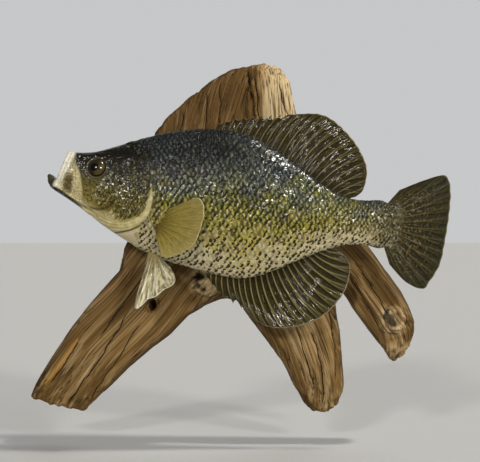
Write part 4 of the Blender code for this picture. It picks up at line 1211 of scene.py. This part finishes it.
# %% Carve the grain
WOOD_AXES = (
    ((-38, -20), (-30, 40), (-22, 90), (-8, 136)),
    ((30, -20), (30, 51), (31, 83), (30, 104), (28, 134)),
    ((-45, -41), (-75, -75), (-101, -108), (-140, -147), (-159, -172), (-182, -203)),
    ((35, -57), (48, -105), (61, -130), (72, -159), (78, -182), (81, -210)),
    ((78, -29), (115, -68), (126, -84), (144, -110), (158, -134), (160, -158)),
)
CRACKS = (
    (((8, 133), (9, 112), (12, 92), (13, 70)), 5, 1.5),
    (((14, 122), (17, 104), (18, 84), (22, 66)), 3.5, 1.3),
    (((-33, 108), (-34, 84), (-36, 62)), 3, 1),
    (((-20, 118), (-20, 96), (-22, 70)), 2.2, 0.9),
    (((-56, 88), (-60, 64)), 2.2, 0.9),
    (((38, 118), (43, 96), (50, 78)), 2, 1),
    (((-108, -105), (-136, -153), (-158, -184), (-172, -206)), 3.2, 1.2),
    (((-158, -138), (-174, -163), (-189, -181)), 2.5, 1.2),
    (((-98, -120), (-122, -158), (-150, -200)), 2.2, 1),
    (((-84, -60), (-112, -98), (-140, -136)), 2, 1),
    (((70, -128), (80, -160), (84, -200)), 3, 1.2),
    (((56, -124), (66, -160), (74, -192)), 2.4, 1),
    (((88, -100), (94, -140), (95, -178)), 2.4, 1),
    (((112, -58), (132, -88), (146, -112)), 2.6, 1.1),
    (((104, -70), (122, -98), (138, -128)), 2.2, 1),
)
BURL = (-33.0, -78.0)
BURL_HOLLOW = (-40.6, -74.0)
KNOT_HOLE = (-86.0, -103.0)
AMBER_SPLIT = ((-160.0, -138.0), (-177.0, -161.0), (-192.0, -180.0))
BROKEN_KNOT = (152.0, -117.0)
GNARLS = ((BURL, 23.0), (BROKEN_KNOT, 21.0), ((158.0, -148.0), 16.0), ((-78.0, -60.0), 9.0))
WOOD_VOXEL, DEEPEST, HIGHEST = 1.35, -6.5, 2.2

wood_mesh = bpy.data.meshes.new("worn_driftwood")
shape = bmesh.new()
shape.from_mesh(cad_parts["driftwood"].data)
bmesh.ops.remove_doubles(shape, verts=shape.verts, dist=0.00001)
shape.to_mesh(wood_mesh)
shape.free()
wood_mesh.materials.clear()
wood = show("worn_driftwood", wood_mesh)
even_net(wood, WOOD_VOXEL, 0.6, 9)
places, normals = mesh_arrays(wood)
x, y, z = (places / MM).T

weights, alongs, acrosses = [], [], []
for line in WOOD_AXES:
    across, share = line_distance(x, z, line)
    length = np.linalg.norm(np.diff(line, axis=0), axis=1).sum()
    weights.append(np.exp(-np.abs(across) / 6.0) + 1e-9)
    alongs.append(share * length)
    acrosses.append(across)
weights = np.array(weights) / np.sum(weights, axis=0)
# The second sum is painted shade for the grooves, cracks and hollows carved here.
rise, groove = np.zeros(len(x)), np.zeros(len(x))
for number, (weight, along, across) in enumerate(zip(weights, alongs, acrosses)):
    bend = 2.2 * wander(along / 70.0, across / 30.0, y / 30.0, number)
    fibre = across + bend
    flutes = wander(fibre / 10.0, along / 90.0, y / 10.0, number + 10)
    ridges = np.abs(wander(fibre / 4.2, along / 60.0, y / 5.0, number + 20))
    fine = np.abs(wander(fibre / 2.3, along / 40.0, y / 3.0, number + 30))
    split = np.abs(wander(fibre / 9.0, along / 400.0, y / 60.0, number + 40))
    open_here = ease(0.0, 0.6, wander(fibre / 12.0, along / 60.0, y / 60.0, number + 50))
    crack = ridge(split, 0.04) * open_here
    worn = 1.2 * flutes + 0.5 * np.minimum(ridges * 3, 1) + 0.25 * np.minimum(fine * 3, 1)
    rise += weight * (worn - 1.6 * crack - 0.5)
    groove += weight * (0.06 * ridge(ridges, 0.12) + 0.4 * crack)
front = ease(0.3, 0.8, -normals[:, 1])
wobble = 1.2 * wander(x / 9.0, z / 9.0, y / 9.0, 60) + 0.5 * wander(x / 3.0, z / 3.0, y / 3.0, 61)
from_crack = np.full(len(x), 50.0)
for line, depth, width in CRACKS:
    distance, share = line_distance(x, z, line)
    distance = distance + wobble
    here = ease(0.0, 0.15, share) * ease(1.0, 0.85, share) * front
    opening = ridge(distance, width) * here
    rise -= depth * opening
    groove += 0.35 * opening
    distance = distance * 1.6 / (width * np.maximum(here, 0.02))
    from_crack = np.where(np.abs(distance) < np.abs(from_crack), distance, from_crack)
amber = ridge(line_distance(x, z, AMBER_SPLIT)[0], 1.8) * front
lumps = wander(x / 6.0, y / 6.0, z / 6.0, 70)
small_lumps = wander(x / 2.8, y / 2.8, z / 2.8, 71)
gnarl = np.zeros(len(x))
for spot, size in GNARLS:
    gnarl = np.maximum(gnarl, ease(size, size * 0.45, np.hypot(x - spot[0], z - spot[1])))
rise = rise * (1 - 0.6 * gnarl) + gnarl * (2.6 * lumps + 1.5 * small_lumps)
groove = groove * (1 - 0.5 * gnarl) + gnarl * np.clip(-1.6 * lumps, 0, 1)
hollow_depth = np.exp(-(np.hypot((x - BURL_HOLLOW[0]) / 6.0, (z - BURL_HOLLOW[1]) / 4.4)) ** 4) * front
rise -= 6.0 * hollow_depth
groove += hollow_depth
hole_x, hole_z = x - KNOT_HOLE[0], z - KNOT_HOLE[1]
from_hole = np.hypot(hole_x, hole_z * 1.3)
rise += 0.6 * np.cos(from_hole * 1.6) * ridge(from_hole - 13.0, 7.0) * front
slanted = np.hypot((hole_x + hole_z) * 0.707 / 8.0, (hole_x - hole_z) * 0.707 / 3.6)
hole = np.exp(-slanted ** 4) * front
rise -= 4.0 * hole
groove += hole
from_knot = np.hypot(x - BROKEN_KNOT[0], z - BROKEN_KNOT[1]) + 1.5 * lumps
rings = np.cos(from_knot * 1.5) * ease(17.0, 12.0, from_knot) * ease(4.0, 7.0, from_knot) * front
rise += 0.9 * rings
groove += 0.4 * np.maximum(-rings, 0.0)
rise += (2.2 * ridge(from_knot - 9.5, 2.4) - 4.0 * ridge(from_knot, 6.0)) * front
groove += 0.55 * ridge(from_knot - 4.0, 2.6) * front
torn = ease(-186.0, -204.0, z) + ease(124.0, 136.0, z) * 0.3
rise += torn * 2.2 * wander(x / 4.0, y / 4.0, z / 22.0, 80)
moved = np.clip(rise, DEEPEST, HIGHEST)
away_from_back = ease(-1.0, -7.0, y)
places += normals * (moved * away_from_back * MM)[:, None]
places[:, 1] = np.minimum(places[:, 1], 0.0)
wood.data.vertices.foreach_set("co", places.astype(np.float32).ravel())

nearest_limb = np.argmax(weights, axis=0)
pick = np.arange(len(x))
# Painted light and shadow: the upper limbs are paler towards the right, lit from the upper right, and darker
# at the upper left, in the shadow of the fish; the lower limbs get paler and darker regions as well.
upper = ease(-30.0, 20.0, z)
pale_above = ease(2.0, 34.0, x) - 0.28 * ease(5.0, -25.0, x)
pale_below = (
    0.10 + 0.20 * ease(20.0, 60.0, x) - 0.05 * ease(90.0, 115.0, x) + 0.14 * ease(-110.0, -160.0, x))
store(wood.data, {
    "grain_along": np.array(alongs)[nearest_limb, pick] + 500.0 * nearest_limb,
    "grain_across": np.array(acrosses)[nearest_limb, pick],
    "grain_depth": y,
    "groove": np.clip(groove, 0, 1), "gnarl": gnarl, "amber": amber, "sawn_back": ease(-1.5, -0.3, y),
    "from_crack": from_crack,
    "bleach": upper * pale_above + (1 - upper) * pale_below,
})
wood.data.shade_smooth()
print("driftwood:", len(x), "points; moved by", moved.min().round(1), "to", moved.max().round(1), "mm")

# %% [markdown]
# ### The finish of driftwood
# Weathered wood has no varnish: it is dry and matt and tan, and painted shade makes it brown in the
# hollows and nearly black in the open cracks. Streaks of tone run along the grain. The upper limbs are
# painted paler towards the right, as light from the upper right, and darker at the upper left, as the
# shadow of the fish. The flat back was sawn so that the mount lies against a wall, and shows fresher,
# paler wood with fine saw marks.

# %% Driftwood material
wood_material, add, plug = start_material("weathered_driftwood", IOR=1.45, Specular_IOR_Level=0.2)
space = add("TexCoord")
names = ("grain_along", "grain_across", "grain_depth", "groove", "gnarl", "amber", "sawn_back", "bleach",
         "from_crack")
along, across, deep, groove, gnarl, amber, sawn_back, bleach, from_crack = [
    add("Attribute " + name) for name in names]
GRAIN_LINES = (("broad", 0.045, 0.006, 3.0), ("streaks", 0.30, 0.0040, 5.0), ("fibres", 0.60, 0.008, 3.0),
               ("splits", 0.26, 0.0022, 2.0), ("gaps", 0.12, 0.016, 1.0))
WOOD_TONES = ((0.3, "#5A411F"), (0.44, "#73572D"), (0.6, "#A0845A"), (0.76, "#C6AF86"))
grain = {}
for shift, (name, across_scale, along_scale, detail) in enumerate(GRAIN_LINES):
    place_across = add("Math MULTIPLY_ADD", across, across_scale, 7.0 * shift)
    place_along = add("Math MULTIPLY", along, along_scale)
    place_deep = add("Math MULTIPLY", deep, 0.35 * across_scale)
    grain[name] = add("TexNoise", add("CombineXYZ", place_across, place_along, place_deep), 1.0, detail, 0.6)

# Knots are paler; the rest of this value is painted light and shadow.
bleach = add("Math MULTIPLY_ADD", gnarl, 0.6, bleach)
level = add("Math MULTIPLY_ADD", bleach, 0.4, -0.17)
level = add("Math ADD", level, grain["broad"])
colour = add("ValToRGB", level, stops=WOOD_TONES)
light = add("MapRange", grain["streaks"], 0.52, 0.66, 0.0, 0.7)
light = add("Math MULTIPLY", light, add("MapRange", bleach, 0.0, 0.8, 0.25, 1.0))
colour = add("Mix RGBA", light, colour, "#C4AE86")
dull = add("MapRange", grain["streaks"], 0.48, 0.36, 0.0, 0.6)
colour = add("Mix RGBA", dull, colour, "#594425")
thin = add("MapRange", grain["fibres"], 0.48, 0.36, 0.0, 0.75)
colour = add("Mix RGBA", thin, colour, "#4A371D")
colour = add("Mix RGBA", add("Math MULTIPLY", amber, 0.7), colour, "#B98A45")
# Fine splits and the open cracks are painted nearly black as the shade inside them.
line = add("Math ABSOLUTE", add("Math SUBTRACT", grain["splits"], 0.5))
line = add("MapRange", line, 0.022, 0.008)
open_line = add("MapRange", grain["gaps"], 0.46, 0.56, 0.0, 0.8)
line = add("Math MULTIPLY", line, open_line)
gap = add("MapRange", add("Math ABSOLUTE", from_crack), 1.0, 0.45)
line = add("Math MAXIMUM", line, gap)
# Grooves, hollows and the knot hole are painted dark as shade.
hollow_shade = add("MapRange", groove, 0.2, 0.95, 0.0, 0.9)
dark = add("Math MAXIMUM", line, hollow_shade)
colour = add("Mix RGBA", dark, colour, "#20160A")
saw_marks = add("TexWave", space, 260.0, 2.0, out="Fac")
fresh = add("Mix RGBA", saw_marks, "#9E8257", "#AA8F63")
colour = add("Mix RGBA", sawn_back, colour, fresh)
plug(Base_Color=colour)
plug(Roughness=add("MapRange", grain["streaks"], 0.3, 0.7, 0.72, 0.92))
relief = add("Math MULTIPLY_ADD", grain["streaks"], 1.6, grain["fibres"])
relief = add("Math MULTIPLY_ADD", line, -0.5, relief)
plug(Normal=add("Bump", 0.7, 0.0012, None, relief))
finish_with(wood, wood_material)
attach(wood, "root")
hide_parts("driftwood")

# %% [markdown]
# ## Hanger
# The keyhole plate and its screws are zinc-plated steel: a metal with a grey-blue tint, a faint spangle
# where the zinc crystallised, and fine scratches from handling. Their solid shapes are right, so they
# stay and only get the finish.

# %% Zinc-plated steel
zinc, add, plug = start_material("zinc_plated_steel", Metallic=1.0)
space = add("TexCoord")
spangle = add("SeparateColor", add("TexVoronoi", space, 420.0, out="Color"))
brushed = add("Mapping", space, None, None, (0.12, 1.0, 1.0))
scratches = add("TexNoise", brushed, 900.0, 3.0)
colour = add("Mix RGBA", spangle, "#A9AEB2", "#BFC4C8")
plug(Base_Color=colour)
worn = add("Math MULTIPLY_ADD", spangle, 0.4, scratches)
plug(Roughness=add("MapRange", worn, 0.3, 1.0, 0.28, 0.5))
plug(Normal=add("Bump", 0.2, 0.0002, None, scratches))
for name in ("hanger", "hanger_screw_1", "hanger_screw_2"):
    finish_with(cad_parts[name], zinc)

# %% [markdown]
# ## Light, floor and camera
# Two small bright lamps a little above the viewer make the wet-looking scales sparkle, another one from
# above draws a bright line along the back, and a broad soft one fills the shadows. They are far away, so
# the plain pale floor is lit evenly. The backdrop is as pale as the floor, while the room in front of
# the fish is dim, because gloss shows whatever is in front of it and a bright room would turn it milky.
# For the same reason the floor, the broad lamp and the lamp from behind are kept out of the gloss.

# %% Studio
LAMPS = (
    ("key_lamp", (-0.30, -1.0, 0.38), 1.2, 6.5, "#FFFCF6", True),
    ("second_lamp", (0.55, -1.0, 0.42), 1.1, 6.5, "#FFFCF6", True),
    ("top_lamp", (0.50, -0.10, 0.86), 1.6, 6.5, "#FFFAF0", True),
    ("fill_lamp", (1.0, -1.0, 0.20), 1.4, 60.0, "#FFFCF6", False),
    ("back_lamp", (0.5, 1.0, 0.8), 0.7, 40.0, "#FFFFFF", False),
)
for name, direction, strength, spread, colour, in_gloss in LAMPS:
    lamp = bpy.data.lights.new(name, "SUN")
    lamp.energy, lamp.angle, lamp.color = strength, math.radians(spread), linear(colour)[:3]
    holder = show(name, lamp)
    holder.rotation_euler = (-Vector(direction)).to_track_quat("-Z", "Y").to_euler()
    holder.visible_glossy = in_gloss
print(len(LAMPS), "lamps, the three narrow ones seen in gloss")

floor_material, add, plug = start_material("pale_paper_floor", Roughness=0.9)
speck = add("TexNoise", add("TexCoord"), 40.0, 6.0)
plug(Base_Color=add("Mix RGBA", speck, "#BBBCBC", "#BEBFBF"))
FLOOR_GAP, FAR = 0.03, 25.0
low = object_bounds()[0].z - FLOOR_GAP
floor_mesh = bpy.data.meshes.new("studio_floor")
corners = [(x, y, low) for x, y in ((-FAR, -FAR), (FAR, -FAR), (FAR, FAR), (-FAR, FAR))]
floor_mesh.from_pydata(corners, [], [(0, 1, 2, 3)])
floor = show("studio_floor", floor_mesh)
floor_mesh.materials.append(floor_material)
floor.visible_glossy = False
floor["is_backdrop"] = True

world = bpy.data.worlds.new("studio_world")
bpy.context.scene.world = world
world.use_nodes = True
add = partial(add_node, world.node_tree)
behind = add("SeparateXYZ", add("TexCoord", out="Generated"), out="Y")
plug_in(world.node_tree.nodes["Background"], Color=linear("#F4F5F6"),
        Strength=add("MapRange", behind, 0.5, 0.95, 0.07, 0.63))
bpy.context.scene.view_settings.view_transform = "Standard"

LENS, SENSOR, CAMERA_DISTANCE, CAMERA_HEIGHT = 113.3, 36.0, 1.527, -0.030
lens = bpy.data.cameras.new("camera")
lens.lens, lens.sensor_width, lens.clip_end = LENS, SENSOR, 100.0
camera = show("camera", lens)
camera.location = (0.0, -CAMERA_DISTANCE, CAMERA_HEIGHT)
camera.rotation_euler = (math.radians(90.0), 0.0, 0.0)
bpy.context.scene.camera = camera

# %% [markdown]
# ## Size
# The visual model must keep the solid model's size, so both boxes are written out and compared.

# %% Compare sizes
dressed_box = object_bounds()
for axis, name in enumerate("xyz"):
    grown = [solid_box[0][axis] - dressed_box[0][axis], dressed_box[1][axis] - solid_box[1][axis]]
    print(name, "grows by", [round(v * 1000, 1) for v in grown], "mm")
